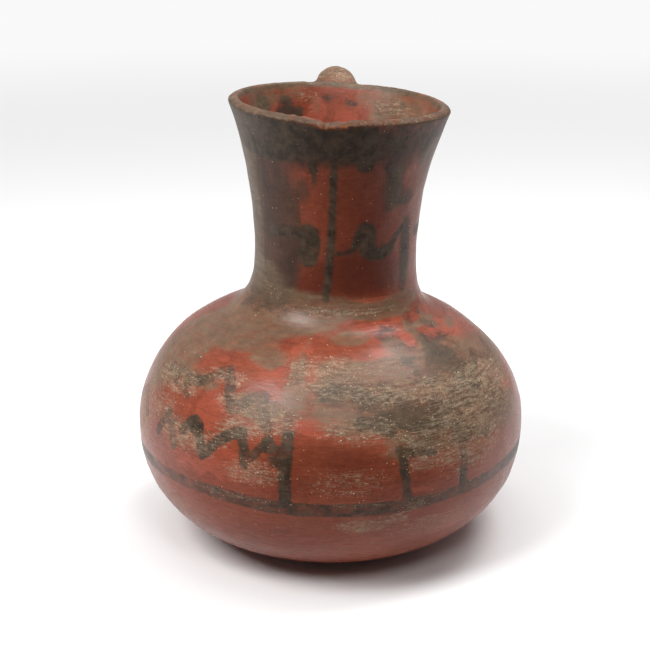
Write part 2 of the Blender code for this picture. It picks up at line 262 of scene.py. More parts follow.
# Cream dust caught in the surface; its last zone is a painted highlight up the right of the neck
DUST_AND_HIGHLIGHT = [
    (50, 7, 18, 1, 1), (35, 6.6, 14, 0.6, 0.95), (28, 8.2, 20, 0.45, 0.6), (58, 8, 12, 0.5, 0.85),
    (10, 7.2, 12, 0.5, 0.6), (30, 5.8, 9, 0.35, 0.75), (48, 5.7, 10, 0.4, 0.65), (42, 5.2, 8, 0.5, 0.45),
    (9, 3.45, 7, 0.3, 0.95), (24, 4.1, 3, 0.15, 0.95), (18, 3.7, 5, 0.25, 0.65), (5, 5.3, 12, 0.6, 0.4),
    (75, 7.6, 10, 0.8, 0.6), (4, 8.5, 10, 0.35, 0.55), (0, 9.1, 12, 0.3, 0.55), (20, 9, 14, 0.3, 0.35),
    (-64, 7.85, 8, 0.35, 1), (-55, 7.9, 9, 0.4, 0.9), (-24, 7.6, 9, 0.6, 0.9), (-38, 8.5, 10, 0.25, 0.65),
    (-32, 7.85, 6, 0.25, 0.75), (-28, 6.95, 8, 0.3, 0.65), (-47, 6.2, 8, 0.5, 0.75),
    (-52, 5.9, 6, 0.4, 0.55), (-38, 5.9, 4, 0.25, 0.75), (-22, 5.5, 9, 0.5, 0.65), (-15, 7.4, 6, 0.5, 0.65),
    (-72, 6.2, 10, 1.3, 0.65), (-8, 8.9, 8, 0.4, 0.5), (-35, 6.4, 5, 0.3, 0.6), (-58, 6.8, 7, 0.6, 0.45),
    (-30, 4.4, 14, 0.2, 0.4), (20, 4.4, 30, 0.15, 0.35), (20, 10.6, 25, 0.15, 0.6),
    (-10, 10.6, 12, 0.2, 0.55), (-45, 11, 12, 0.3, 0.3), (30, 3.1, 14, 0.5, 0.4), (-60, 3, 20, 0.8, 0.35),
    (110, 7.2, 20, 1, 0.6), (170, 6.8, 22, 1, 0.6), (-120, 7, 25, 0.9, 0.6), (-160, 8.6, 12, 0.5, 0.5),
    # A pale streak up the right of the neck: painted highlight
    (64, 14.5, 8, 2.5, 0.35),
]
# Fresh orange slip; the zones at (-22, 8.9) and (-12, 9.5) are a painted highlight on the left shoulder
BRIGHT_SLIP_AND_HIGHLIGHT = [
    (22, 10.08, 12, 0.14, 1), (43, 10.2, 7, 0.16, 1), (68, 10.1, 14, 0.18, 1), (66, 9.35, 16, 0.34, 1),
    (25, 9.36, 7, 0.14, 1), (40, 9.6, 4, 0.24, 0.95), (14, 9.9, 5, 0.12, 0.7), (-39, 7.35, 6, 0.7, 0.85),
    (-30, 5.9, 8, 0.35, 0.9), (-28, 5.3, 12, 0.5, 0.55), (-3, 7.35, 8, 0.35, 0.9), (-12, 9.5, 6, 0.3, 0.6),
    (-45, 5.3, 10, 0.6, 0.5), (24, 4.75, 5, 0.12, 0.9), (70, 7.4, 7, 0.5, 0.6), (-44, 8.75, 7, 0.35, 0.55),
    (-22, 8.9, 10, 0.5, 0.5), (44, 16, 5, 0.5, 0.55), (-22, 16.2, 4, 0.5, 0.5), (28, 11.02, 18, 0.12, 0.85),
    (100, 9, 20, 0.8, 0.5), (-120, 5.4, 20, 0.8, 0.5), (150, 5.2, 22, 0.9, 0.5),
]
DEEP_SLIP = [
    (0, 6.3, 13, 0.55, 0.5), (12, 5.8, 12, 0.6, 0.38), (14, 12, 40, 0.9, 0.95), (15, 14.9, 26, 2.2, 0.55),
    (-6, 5.2, 12, 0.5, 0.35), (-20, 11.4, 18, 0.5, 0.8), (180, 12.5, 60, 1.4, 0.5),
]
# Places where the slip and paint are rubbed to the clay
RUBBED = [
    (-7, 18.17, 9, 0.1, 1), (2, 18.2, 5, 0.08, 0.7), (22, 18.3, 8, 0.05, 0.5), (-40, 18.3, 24, 0.05, 0.3),
    (62, 18.31, 30, 0.06, 0.5),
]
# The same for the inside of the neck
INSIDE_SOOT = [
    (-144, 17.5, 6, 0.45, 0.85), (-152, 17.2, 5, 0.35, 0.75), (-138, 17.1, 5, 0.4, 0.8),
    (-124, 17.5, 8, 0.7, 0.75), (-174, 17.7, 6, 0.2, 0.62), (172, 17.5, 5, 0.18, 0.55),
    (176, 17.9, 9, 0.12, 0.5), (128, 17, 8, 0.4, 0.7), (136, 17.7, 5, 0.2, 0.5), (112, 17.3, 6, 0.5, 0.6),
    (151, 17.2, 5, 0.25, 0.5), (0, 14.2, 180, 1.7, 0.75), (0, 8, 180, 4.6, 0.9), (90, 17.2, 14, 0.6, 0.5),
    (-90, 17.2, 12, 0.6, 0.5),
]
INSIDE_FILM = [
    (146, 17.75, 12, 0.45, 1), (137, 17.3, 12, 0.55, 1), (152, 17.1, 8, 0.4, 0.85),
    (122, 17.5, 12, 0.7, 0.95), (128, 16.9, 14, 0.6, 0.9), (104, 17.2, 12, 1.1, 0.85),
    (-118, 17.3, 10, 0.9, 0.85), (-131, 17.8, 9, 0.3, 0.8), (-150, 17.9, 10, 0.18, 0.75),
    (-164, 17.5, 5, 0.4, 0.45), (164, 17.8, 6, 0.3, 0.6), (-100, 16.8, 14, 0.9, 0.75),
]
INSIDE_DUST = [
    (148, 17.6, 10, 0.4, 0.55), (134, 17.5, 10, 0.35, 0.45), (120, 17, 14, 0.6, 0.35),
    (-160, 17.8, 9, 0.3, 0.4), (0, 1.5, 180, 1.4, 0.6), (-120, 17.6, 12, 0.4, 0.35),
]
INSIDE_BRIGHT_SLIP = [
    (-134, 17.4, 5, 0.5, 0.7), (-166, 17.2, 7, 0.6, 0.8), (175, 16.9, 9, 0.45, 1),
    (-158, 16.8, 7, 0.3, 0.8), (113, 17.7, 3, 0.4, 0.9), (104, 17.6, 3, 0.5, 0.7),
]

# Where the inside, the handle and the lip's crest begin on the body
ZONE_CORE = 0.45
ZONE_FADE = 1.1
INSIDE_START = 0.35
INSIDE_FADE = 0.3
HANDLE_STANDOFF = 0.0012
HANDLE_STANDOFF_FADE = 0.003
HANDLE_LOWEST = 0.08
HANDLE_OVER_LIP = 0.0003
HANDLE_OVER_LIP_FADE = 0.002
STRAP_TOP_FADE = 0.03
CREST_DROP = 0.0018
CREST_FADE = 0.0014
NECK_FINISH_START = (0.106, 0.114)

# What lies on the lip's crest and on the handle
CREST_PAINT_LOSS = 0.35
CREST_SOOT = 0.70
CREST_FILM = 0.78
CREST_FILM_CLEARED = 0.30
CREST_CLEARED_SPREAD = 30
CREST_DUST = 0.14
CREST_RUBBED = 0.30
CREST_RUBBED_FRONT = 0.20
CREST_RUBBED_AZIMUTH = 14
CREST_RUBBED_SPREAD = 46
HANDLE_SOOT = 0.25
HANDLE_FILM = 0.58
HANDLE_TOP_FILM = 0.30
HANDLE_DUST = 0.30
HANDLE_TOP_DUST = 0.25

# The hand-made surface
DENT_DEPTH = 0.00045
DENT_SIZE = 0.034
BURNISH_DEPTH = 0.00019
BURNISH_SIZE = 0.011
BURNISH_SEED = 7.0
NOISE_SWING = 3.0
FLAT_BELOW = 0.001
DENTED_ABOVE = 0.025
MERGE_DISTANCE = 0.00002

# The studio, with its soft lights as (name, azimuth and elevation in degrees, size, property)
JUG_MIDDLE = 0.09
LIGHT_DISTANCE = 1.35
FLOOR_SIZE = 8.0
FLOOR_FADE = (0.25, 1.5)
BOUNCE_FADE = (-0.225, -0.025)
ROOM_FADE = (-0.3, 0.7)
LIGHTS = [
    ("left_light", -52, 49, 0.62, "left_power"), ("right_light", 114, 64, 0.60, "right_power"),
    ("front_light", 13, 46, 0.35, "front_power"), ("top_light", 10, 82, 0.90, "top_power"),
]

# Lime flecks that stand on the surface
FLECK_SIZE = 0.00016
FLECK_SMALLEST = 0.35
FLECK_LARGEST = 1.5
FLECK_WIDTH = 0.6
FLECK_HEIGHT = 0.16
FLECK_CLUMP_SCALE = 170.0


def length(name, description, default):
    return FloatProperty(name=name, description=description, default=default, min=0.0, subtype="DISTANCE",
                         unit="LENGTH", precision=4)


def angle(name, description, default):
    return FloatProperty(name=name, description=description, default=math.radians(default), subtype="ANGLE",
                         unit="ROTATION")


def power(name, description, default):
    return FloatProperty(name=name, description=description, default=default, min=0.0, unit="POWER")


def share(name, description, default):
    return FloatProperty(name=name, description=description, default=default, min=0.0, max=1.0,
                         subtype="FACTOR")


def colour(name, description, default):
    return FloatVectorProperty(name=name, description=description, default=(*default, 1.0), size=4, min=0.0,
                               max=1.0, subtype="COLOR")


class JugSizes(bpy.types.PropertyGroup):
    """The jug's main sizes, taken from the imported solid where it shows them"""

    base_flat_radius: length("Base flat radius", "Radius of the flat that the jug stands on", 0.0194)
    belly_radius: length("Belly radius", "Largest radius of the body", (CAD_HIGH[0] - CAD_LOW[0]) / 2)
    belly_height: length("Belly height", "Height of the largest radius", 0.0505)
    neck_radius: length("Neck radius", "Radius of the neck at its waist", 0.0331)
    lip_radius: length("Lip radius", "Outer radius of the lip", 0.0442)
    handle_rise: length("Handle rise", "Height of the handle's top over the lip", 0.0061)
    handle_reach: length("Handle reach", "Distance from the axis to the back of the handle", 0.0690)
    handle_width: length("Handle width", "Width of the strap", 0.0160)
    handle_thickness: length("Handle thickness", "Thickness of the strap", 0.0120)
    handle_lip_spread: length("Handle lip spread", "How far each side of the strap spreads at the lip",
                              0.0040)
    handle_foot_spread: length("Handle foot spread", "How far it spreads at the shoulder", 0.0022)
    handle_crown: share("Handle crown", "How much narrower the strap is on its outer face", 0.12)
    base_wall: length("Base wall", "Thickness of the clay in the base", 0.0070)
    belly_wall: length("Belly wall", "Thickness of the clay at the belly", 0.0052)
    lip_wall: length("Lip wall", "Thickness of the clay at the lip", 0.0042)
    lip_crest: length("Lip crest", "Height of the rounded crest of the lip", 0.0014)
    neck_lean: angle("Neck lean", "How far the neck leans towards +X", 1.35)
    lip_dip: angle("Lip dip", "How much more the lip dips towards +X", 1.55)
    chip_depth: length("Chip depth", "Depth of the chip at the front of the lip", 0.0014)
    steps_round: IntProperty(name="Steps round", description="Divisions round the body", default=288,
                             min=24)

    @property
    def lip_height(self):
        return CAD_HIGH[2] - self.handle_rise - HANDLE_TOP_LIFT


class JugFinish(bpy.types.PropertyGroup):
    """Colours and gloss of the jug's surface"""

    slip: colour("Slip", "Burnished red slip", (0.196, 0.037, 0.017))
    slip_pale: colour("Pale slip", "Where the slip is thin", (0.265, 0.068, 0.034))
    # Also the colour of the painted highlight on the left shoulder
    slip_bright_and_highlight: colour("Bright slip", "Where the slip is fresh and orange", (0.315, 0.070, 0.038))
    slip_deep: colour("Deep slip", "Where the slip is thick and dark", (0.105, 0.022, 0.011))
    paint: colour("Paint", "Black paint where it lies thick", (0.025, 0.017, 0.011))
    paint_thin: colour("Thin paint", "Black paint where it is thin", (0.085, 0.054, 0.034))
    soot: colour("Firing cloud", "Grey clouds from the firing", (0.032, 0.022, 0.016))
    soot_brown: colour("Brown firing cloud", "Brown clouds from the firing", (0.082, 0.040, 0.025))
    # Also the colour of the painted sheen on the left edges and the left shoulder
    film: colour("Grime film", "Tan film of old grime", (0.235, 0.160, 0.100))
    film_dark: colour("Dark grime film", "Olive film of old grime", (0.100, 0.072, 0.040))
    # Also the colour of the painted highlight up the right of the neck
    dust: colour("Dust", "Cream dust in the surface", (0.400, 0.300, 0.200))
    clay: colour("Bare clay", "Clay where the lip is chipped and rubbed", (0.205, 0.066, 0.024))
    fleck: colour("Flecks", "Cream lime flecks", (0.560, 0.440, 0.300))
    slip_roughness: share("Slip roughness", "Roughness of the burnished slip", 0.29)
    dust_roughness: share("Dust roughness", "Roughness of dust and grime", 0.72)


class JugStudio(bpy.types.PropertyGroup):
    """The floor, the lights and the camera"""

    floor: colour("Floor", "Plain pale floor", (0.86, 0.86, 0.86))
    left_power: power("Left light", "Power of the soft light over the left", 17.0)
    right_power: power("Right light", "Power of the soft light over the right", 10.0)
    top_power: power("Top light", "Power of the soft light over the jug", 6.0)
    front_power: power("Front light", "Power of the low soft light in front", 3.6)
    room_light: FloatProperty(name="Room light", description="Strength of the room's light in front",
                              default=0.06)
    back_light: FloatProperty(name="Back light", description="Strength of the light from behind",
                              default=0.50)
    front_bounce: share("Front bounce", "How much light the floor throws back from in front", 0.07)
    backdrop: FloatProperty(name="Backdrop", description="Brightness of the backdrop beyond the floor",
                            default=0.95)
    camera_distance: length("Camera distance", "Along the floor from the jug's axis to the camera", 0.600)
    camera_height: length("Camera height", "Height of the camera over the floor", 0.291)
    camera_pitch: angle("Camera pitch", "How far the camera looks down", 18.6)
    camera_yaw: angle("Camera yaw", "How far the camera turns to the right", -0.229)
    field_of_view: angle("Field of view", "The camera's field of view", 24.2)


def smooth_share(value):
    """0 below 0, 1 above 1, and a smooth rise between, for an array."""
    inside = np.clip(value, 0.0, 1.0)
    return inside * inside * (3 - 2 * inside)


def bulge(sizes, centre_radius, half_height, fullness, start, end, steps):
    """Points (radius, height) of a full or true ellipse round the belly's height, between two angles."""
    angles = np.linspace(start, end, steps + 1)
    across = np.abs(np.cos(angles)) ** (2 / fullness)
    up = np.sign(angles) * np.abs(np.sin(angles)) ** (2 / fullness)
    half_width = sizes.belly_radius - centre_radius
    return np.stack([centre_radius + half_width * across, sizes.belly_height + half_height * up], axis=1)


def curve_points(a, b, c, d, steps):
    """Points of a Bezier curve, both ends included."""
    t = np.linspace(0.0, 1.0, steps + 1)[:, None]
    a, b, c, d = (np.asarray(point, dtype=float) for point in (a, b, c, d))
    return (1 - t) ** 3 * a + 3 * (1 - t) ** 2 * t * b + 3 * (1 - t) * t**2 * c + t**3 * d


def outer_outline(sizes):
    """The outside of the wall, from the middle of the base up to the lip, as (radius, height)."""
    quarter = math.pi / 2
    belly = bulge(sizes, sizes.base_flat_radius, sizes.belly_height, BELLY_FULLNESS, -quarter, 0.0,
                  BELLY_STEPS)
    shoulder_width = sizes.belly_radius - SHOULDER_CROWN_RADIUS
    foot_angle = math.acos((NECK_FOOT_RADIUS - SHOULDER_CROWN_RADIUS) / shoulder_width)
    shoulder = bulge(sizes, SHOULDER_CROWN_RADIUS, SHOULDER_RISE, 2.0, 0.0, foot_angle, SHOULDER_STEPS)

    foot = shoulder[-1]
    rising = np.array([-shoulder_width * math.sin(foot_angle), SHOULDER_RISE * math.cos(foot_angle)])
    rising /= np.hypot(*rising)
    waist = np.array([sizes.neck_radius, NECK_WAIST_HEIGHT])
    onto_neck = foot + rising * NECK_ROOT_INWARD * (foot[0] - waist[0])
    up_the_neck = waist - np.array([0.0, NECK_ROOT_UPWARD * (waist[1] - foot[1])])
    neck_root = curve_points(foot, onto_neck, up_the_neck, waist, NECK_STEPS)

    rise = np.linspace(0.0, 1.0, NECK_STEPS + 1)
    lip_end = sizes.lip_height - sizes.lip_crest
    flare = np.stack([
        sizes.neck_radius + (sizes.lip_radius - sizes.neck_radius) * rise**FLARE_POWER,
        NECK_WAIST_HEIGHT + (lip_end - NECK_WAIST_HEIGHT) * rise,
    ], axis=1)
    return np.concatenate([[[0.0, 0.0]], belly, shoulder[1:], neck_root[1:], flare[1:]])


def run_along(points):
    """Distance along a line of points, at each point."""
    steps = np.hypot(*np.diff(points, axis=0).T)
    return np.concatenate([[0.0], np.cumsum(steps)])


def evened(points, spacing):
    """The same line with points at an even spacing."""
    run = run_along(points)
    even = np.linspace(0.0, run[-1], int(round(run[-1] / spacing)) + 1)
    return np.stack([np.interp(even, run, points[:, k]) for k in range(2)], axis=1)


def wall_at(sizes, height):
    """Thickness of the clay at a height of its outside."""
    low = sizes.base_wall + (sizes.belly_wall - sizes.base_wall) * height / sizes.belly_height
    up = np.clip((height - sizes.belly_height) / (sizes.lip_height - sizes.belly_height), 0.0, 1.0)
    high = sizes.belly_wall + (sizes.lip_wall - sizes.belly_wall) * up
    return np.where(height < sizes.belly_height, low, high)


def sunk_outline(sizes, outline, left=0.0):
    """The outline moved into the clay by its thickness there, less what is left."""
    along = np.gradient(outline, axis=0)
    along /= np.hypot(*along.T)[:, None]
    inward = np.stack([-along[:, 1], along[:, 0]], axis=1)
    moved = outline + inward * (wall_at(sizes, outline[:, 1]) - left)[:, None]
    moved[0, 0] = 0.0
    return moved[moved[:, 0] >= 0.0]


def crest_points(sizes, inner_end, outer_end, steps=14):
    """The rounded crest between the wall's two faces, without its ends."""
    middle = (inner_end + outer_end) / 2
    across = inner_end - middle
    upward = np.array([across[1], -across[0]]) / np.hypot(*across) * sizes.lip_crest
    turn = np.linspace(0.0, math.pi, steps + 1)[1:-1, None]
    side = np.sign(np.cos(turn)) * np.abs(np.cos(turn)) ** (2 / LIP_FULLNESS)
    return middle + across * side + upward * np.sin(turn) ** (2 / LIP_FULLNESS)


class Graph:
    """Adds nodes to a tree, each fed with values or with other nodes' outputs."""

    def __init__(self, tree):
        self.tree = tree

    def add(self, kind, feeds=None, **settings):
        node = self.tree.nodes.new(kind)
        node.location.x = 200 * len(self.tree.nodes)
        for name, value in settings.items():
            setattr(node, name, value)
        for socket, value in (feeds or {}).items():
            self.feed(node.inputs[socket], value)
        return node

    def feed(self, socket, value):
        if isinstance(value, bpy.types.NodeSocket):
            self.tree.links.new(value, socket)
        else:
            socket.default_value = value

    def math(self, operation, *values):
        node = self.add("ShaderNodeMath", dict(enumerate(values)), operation=operation)
        return node.outputs[0]

    def times_plus(self, value, factor, more):
        """The value times the factor, plus more."""
        return self.math("MULTIPLY_ADD", value, factor, more)

    def times(self, a, b):
        return self.math("MULTIPLY", a, b)

    def plus(self, a, b):
        return self.math("ADD", a, b)

    def minus(self, a, b):
        return self.math("SUBTRACT", a, b)

    def over(self, a, b):
        return self.math("DIVIDE", a, b)

    def larger(self, a, b):
        return self.math("MAXIMUM", a, b)

    def stretched(self, vector, scale, rotation=(0.0, 0.0, 0.0)):
        """A place turned and scaled, so that a pattern is drawn out the other way."""
        feeds = {"Vector": vector, "Rotation": rotation, "Scale": scale}
        return self.add("ShaderNodeMapping", feeds).outputs[0]

    def part(self, vector, axis):
        """One of a vector's three numbers."""
        return self.add("ShaderNodeSeparateXYZ", {0: vector}).outputs[axis]

    def deliver(self, geometry, material, socket):
        """Ends a geometry tree with real instances and their material."""
        real = self.add("GeometryNodeRealizeInstances", {"Geometry": geometry})
        finished = self.add("GeometryNodeSetMaterial", {"Geometry": real.outputs[0], "Material": material})
        self.feed(socket, finished.outputs[0])

    def vector(self, operation, *values, result=0):
        node = self.add("ShaderNodeVectorMath", dict(enumerate(values)), operation=operation)
        return node.outputs[result]

    def rise(self, value, low, high):
        """0 at low, 1 at high, and a smooth rise between."""
        node = self.add("ShaderNodeMapRange", {"Value": value, "From Min": low, "From Max": high},
                        interpolation_type="SMOOTHSTEP")
        return node.outputs["Result"]

    def noise(self, vector, scale, detail=2.0, roughness=0.5, distortion=0.0):
        feeds = {"Vector": vector, "Scale": scale, "Detail": detail, "Roughness": roughness,
                 "Distortion": distortion}
        return self.add("ShaderNodeTexNoise", feeds).outputs["Fac"]

    def mix(self, amount, a, b, blend="MIX"):
        node = self.add("ShaderNodeMix", {0: amount, 6: a, 7: b}, data_type="RGBA", blend_type=blend)
        return node.outputs[2]

    def blend(self, amount, a, b):
        node = self.add("ShaderNodeMix", {0: amount, 2: a, 3: b}, data_type="FLOAT")
        return node.outputs[0]

    def attribute(self, name):
        return self.add("ShaderNodeAttribute", attribute_name=name).outputs["Fac"]

    def group(self, tree, **feeds):
        node = self.add("ShaderNodeGroup", node_tree=tree)
        for name, value in feeds.items():
            self.feed(node.inputs[name.replace("_", " ").title()], value)
        return node.outputs[0]


def new_tree(name, kind, inputs, outputs):
    """The graph of a node tree with named sockets, its input node's outputs and its output node."""
    tree = bpy.data.node_groups.new(name, kind)
    for socket, socket_type, default in inputs:
        made = tree.interface.new_socket(socket, in_out="INPUT", socket_type="NodeSocket" + socket_type)
        if default is not None:
            made.default_value = default
    for socket, socket_type in outputs:
        tree.interface.new_socket(socket, in_out="OUTPUT", socket_type="NodeSocket" + socket_type)
    return Graph(tree), tree.nodes.new("NodeGroupInput").outputs, tree.nodes.new("NodeGroupOutput")


def turned_wall_tree():
    """Turns a line of points round Z into a wall, and dents it a little as a hand would."""
    graph, given, result = new_tree("turned_wall", "GeometryNodeTree", [
        ("Section", "Geometry", None),
        ("Points", "Int", 2),
        ("Steps Round", "Int", 96),
        ("Dent Depth", "Float", 0.0),
        ("Dent Size", "Float", 0.03),
        ("Ripple Depth", "Float", 0.0),
        ("Ripple Size", "Float", 0.01),
        ("Seed", "Float", 3.0),
        ("Material", "Material", None),
    ], [("Wall", "Geometry")])
    columns = graph.plus(given["Steps Round"], 1.0)
    grid = graph.add("GeometryNodeMeshGrid", {"Vertices X": columns, "Vertices Y": given["Points"]})
    index = graph.add("GeometryNodeInputIndex").outputs[0]
    column = graph.math("FLOOR", graph.over(index, given["Points"]))
    row = graph.minus(index, graph.times(column, given["Points"]))
    position = graph.add("GeometryNodeInputPosition").outputs[0]
    sample = graph.add("GeometryNodeSampleIndex", {"Geometry": given["Section"]}, data_type="FLOAT_VECTOR")
    graph.feed(sample.inputs["Value"], position)
    graph.feed(sample.inputs["Index"], row)
    turn = graph.times(graph.over(column, given["Steps Round"]), math.tau)
    turned = graph.add("ShaderNodeVectorRotate", {"Vector": sample.outputs["Value"], "Angle": turn},
                       rotation_type="Z_AXIS")
    placed = graph.add("GeometryNodeSetPosition", {"Geometry": grid.outputs["Mesh"],
                                                   "Position": turned.outputs[0]})

    outward = graph.vector("NORMALIZE", graph.vector("MULTIPLY", position, (1.0, 1.0, 0.0)))
    off_the_base = graph.rise(graph.part(position, "Z"), FLAT_BELOW, DENTED_ABOVE)
    dents = []
    for depth, size, seed in (("Dent Depth", "Dent Size", 0.0),
                              ("Ripple Depth", "Ripple Size", BURNISH_SEED)):
        texture = graph.add("ShaderNodeTexNoise", {"Vector": position, "Detail": 1.0},
                            noise_dimensions="4D")
        graph.feed(texture.inputs["Scale"], graph.over(1.0, given[size]))
        graph.feed(texture.inputs["W"], graph.plus(given["Seed"], seed))
        swing = graph.times(graph.minus(texture.outputs["Fac"], 0.5), NOISE_SWING)
        dents.append(graph.times(swing, given[depth]))
    dent = graph.times(graph.plus(*dents), off_the_base)
    shift = graph.add("ShaderNodeVectorMath", {0: outward, "Scale": dent}, operation="SCALE")
    dented = graph.add("GeometryNodeSetPosition", {"Geometry": placed.outputs[0],
                                                   "Offset": shift.outputs[0]})
    merged = graph.add("GeometryNodeMergeByDistance", {"Geometry": dented.outputs[0],
                                                       "Distance": MERGE_DISTANCE})
    smooth = graph.add("GeometryNodeSetShadeSmooth", {"Geometry": merged.outputs[0]})
    graph.deliver(smooth.outputs[0], given["Material"], result.inputs["Wall"])
    return graph.tree


def strap_tree():
    """An oval strap along a path, narrower on its outer face and spread at both of its ends."""
    graph, given, result = new_tree("strap", "GeometryNodeTree", [
        ("Path", "Geometry", None),
        ("Width", "Float", 0.016),
        ("Thickness", "Float", 0.012),
        ("Crown", "Float", 0.1),
        ("Lip Spread", "Float", 0.004),
        ("Foot Spread", "Float", 0.0022),
        ("Root Length", "Float", 0.027),
        ("Sides", "Int", 44),
        ("Material", "Material", None),
    ], [("Strap", "Geometry")])
    path = graph.add("GeometryNodeMeshToCurve", {"Mesh": given["Path"]}).outputs[0]
    so_far = graph.add("GeometryNodeSplineParameter").outputs["Length"]
    whole = graph.add("GeometryNodeSplineLength").outputs["Length"]
    swell = 1.0
    for run, spread in ((so_far, "Lip Spread"), (graph.minus(whole, so_far), "Foot Spread")):
        fade = graph.rise(graph.over(run, given["Root Length"]), 1.0, 0.0)
        wider = graph.over(given[spread], graph.times(given["Width"], 0.5))
        swell = graph.times_plus(fade, wider, swell)
    circle = graph.add("GeometryNodeCurvePrimitiveCircle", {"Resolution": given["Sides"], "Radius": 0.5})
    around = graph.add("GeometryNodeInputPosition").outputs[0]
    to_face = graph.times(graph.part(around, "Y"), 2.0)
    narrow = graph.times_plus(to_face, given["Crown"], 1.0)
    width = graph.times(given["Width"], narrow)
    size = graph.add("ShaderNodeCombineXYZ", {"X": width, "Y": given["Thickness"], "Z": 1.0})
    shaped = graph.vector("MULTIPLY", around, size.outputs[0])
    oval = graph.add("GeometryNodeSetPosition", {"Geometry": circle.outputs[0], "Position": shaped})
    swept = graph.add("GeometryNodeCurveToMesh", {"Curve": path, "Profile Curve": oval.outputs[0],
                                                  "Scale": swell, "Fill Caps": True})
    smooth = graph.add("GeometryNodeSetShadeSmooth", {"Geometry": swept.outputs[0]})
    graph.deliver(smooth.outputs[0], given["Material"], result.inputs["Strap"])
    return graph.tree


def flecks_tree():
    """Scatters small flat grains over a surface, thickest where its dust is."""
    graph, given, result = new_tree("lime_flecks", "GeometryNodeTree", [
        ("Surface", "Geometry", None),
        ("Most Per Area", "Float", 700000.0),
        ("Size", "Float", FLECK_SIZE),
        ("Seed", "Int", 11),
        ("Material", "Material", None),
    ], [("Flecks", "Geometry")])
    cover = graph.add("GeometryNodeInputNamedAttribute", {"Name": "flecks"}, data_type="FLOAT").outputs[0]
    scatter = graph.add("GeometryNodeDistributePointsOnFaces", {"Mesh": given["Surface"]},
                        distribute_method="RANDOM")
    position = graph.add("GeometryNodeInputPosition").outputs[0]
    clumps = graph.rise(graph.noise(position, FLECK_CLUMP_SCALE, detail=4.0), 0.5, 0.68)
    density = graph.times(graph.times(cover, clumps), given["Most Per Area"])
    graph.feed(scatter.inputs["Density"], density)
    graph.feed(scatter.inputs["Seed"], given["Seed"])
    grain = graph.add("GeometryNodeMeshIcoSphere", {"Radius": 1.0, "Subdivisions": 1})
    length_spread = graph.add("FunctionNodeRandomValue", data_type="FLOAT")
    graph.feed(length_spread.inputs[2], FLECK_SMALLEST)
    graph.feed(length_spread.inputs[3], FLECK_LARGEST)
    graph.feed(length_spread.inputs["Seed"], given["Seed"])
    size = graph.times(graph.math("POWER", length_spread.outputs[1], 2.0), given["Size"])
    shape = graph.add("ShaderNodeCombineXYZ", {"X": size, "Y": graph.times(size, FLECK_WIDTH),
                                               "Z": graph.times(size, FLECK_HEIGHT)})
    spin = graph.add("FunctionNodeRandomValue", data_type="FLOAT")
    graph.feed(spin.inputs[3], math.tau)
    graph.feed(spin.inputs["Seed"], given["Seed"])
    local = graph.add("ShaderNodeCombineXYZ", {"Z": spin.outputs[1]}).outputs[0]
    facing = graph.add("FunctionNodeRotateRotation", {"Rotation": scatter.outputs["Rotation"],
                                                      "Rotate By": local}, rotation_space="LOCAL")
    grains = graph.add("GeometryNodeInstanceOnPoints", {"Points": scatter.outputs["Points"],
                                                        "Instance": grain.outputs["Mesh"],
                                                        "Rotation": facing.outputs[0],
                                                        "Scale": shape.outputs[0]})
    graph.deliver(grains.outputs[0], given["Material"], result.inputs["Flecks"])
    return graph.tree


def line_object(name, points):
    """A mesh of points joined in a row."""
    mesh = bpy.data.meshes.new(name)
    mesh.from_pydata([tuple(point) for point in points], [(i, i + 1) for i in range(len(points) - 1)], [])
    obj = bpy.data.objects.new(name, mesh)
    bpy.context.scene.collection.objects.link(obj)
    return obj


def plain_copy(obj, name):
    """What an object's modifiers give, as a plain mesh object, and the object itself removed."""
    graph = bpy.context.evaluated_depsgraph_get()
    mesh = bpy.data.meshes.new_from_object(obj.evaluated_get(graph))
    mesh.name = name
    bpy.data.objects.remove(obj, do_unlink=True)
    made = bpy.data.objects.new(name, mesh)
    bpy.context.scene.collection.objects.link(made)
    return made


def grown(obj, tree, name, **values):
    """The plain mesh that a Geometry Nodes tree makes of an object."""
    modifier = obj.modifiers.new(tree.name, "NODES")
    modifier.node_group = tree
    sockets = {item.name: item.identifier for item in tree.interface.items_tree if item.in_out == "INPUT"}
    for key, value in values.items():
        modifier[sockets[key.replace("_", " ").title()]] = value
    return plain_copy(obj, name)


def faced_outward(obj):
    """Turns a closed shell's faces outward."""
    shell = bmesh.new()
    shell.from_mesh(obj.data)
    bmesh.ops.recalc_face_normals(shell, faces=shell.faces)
    if shell.calc_volume(signed=True) < 0:
        bmesh.ops.reverse_faces(shell, faces=shell.faces)
    shell.to_mesh(obj.data)
    shell.free()
    return obj


def turned(name, section, tree, **values):
    """A section of (radius, height) points turned into a closed shell."""
    line = line_object(name + "_section", [(radius, 0.0, height) for radius, height in section])
    return faced_outward(grown(line, tree, name, points=len(section), **values))


def combine(obj, other, operation, name):
    modifier = obj.modifiers.new(other.name, "BOOLEAN")
    modifier.operation = operation
    modifier.solver = "EXACT"
    modifier.object = other
    made = plain_copy(obj, name)
    bpy.data.objects.remove(other, do_unlink=True)
    return made


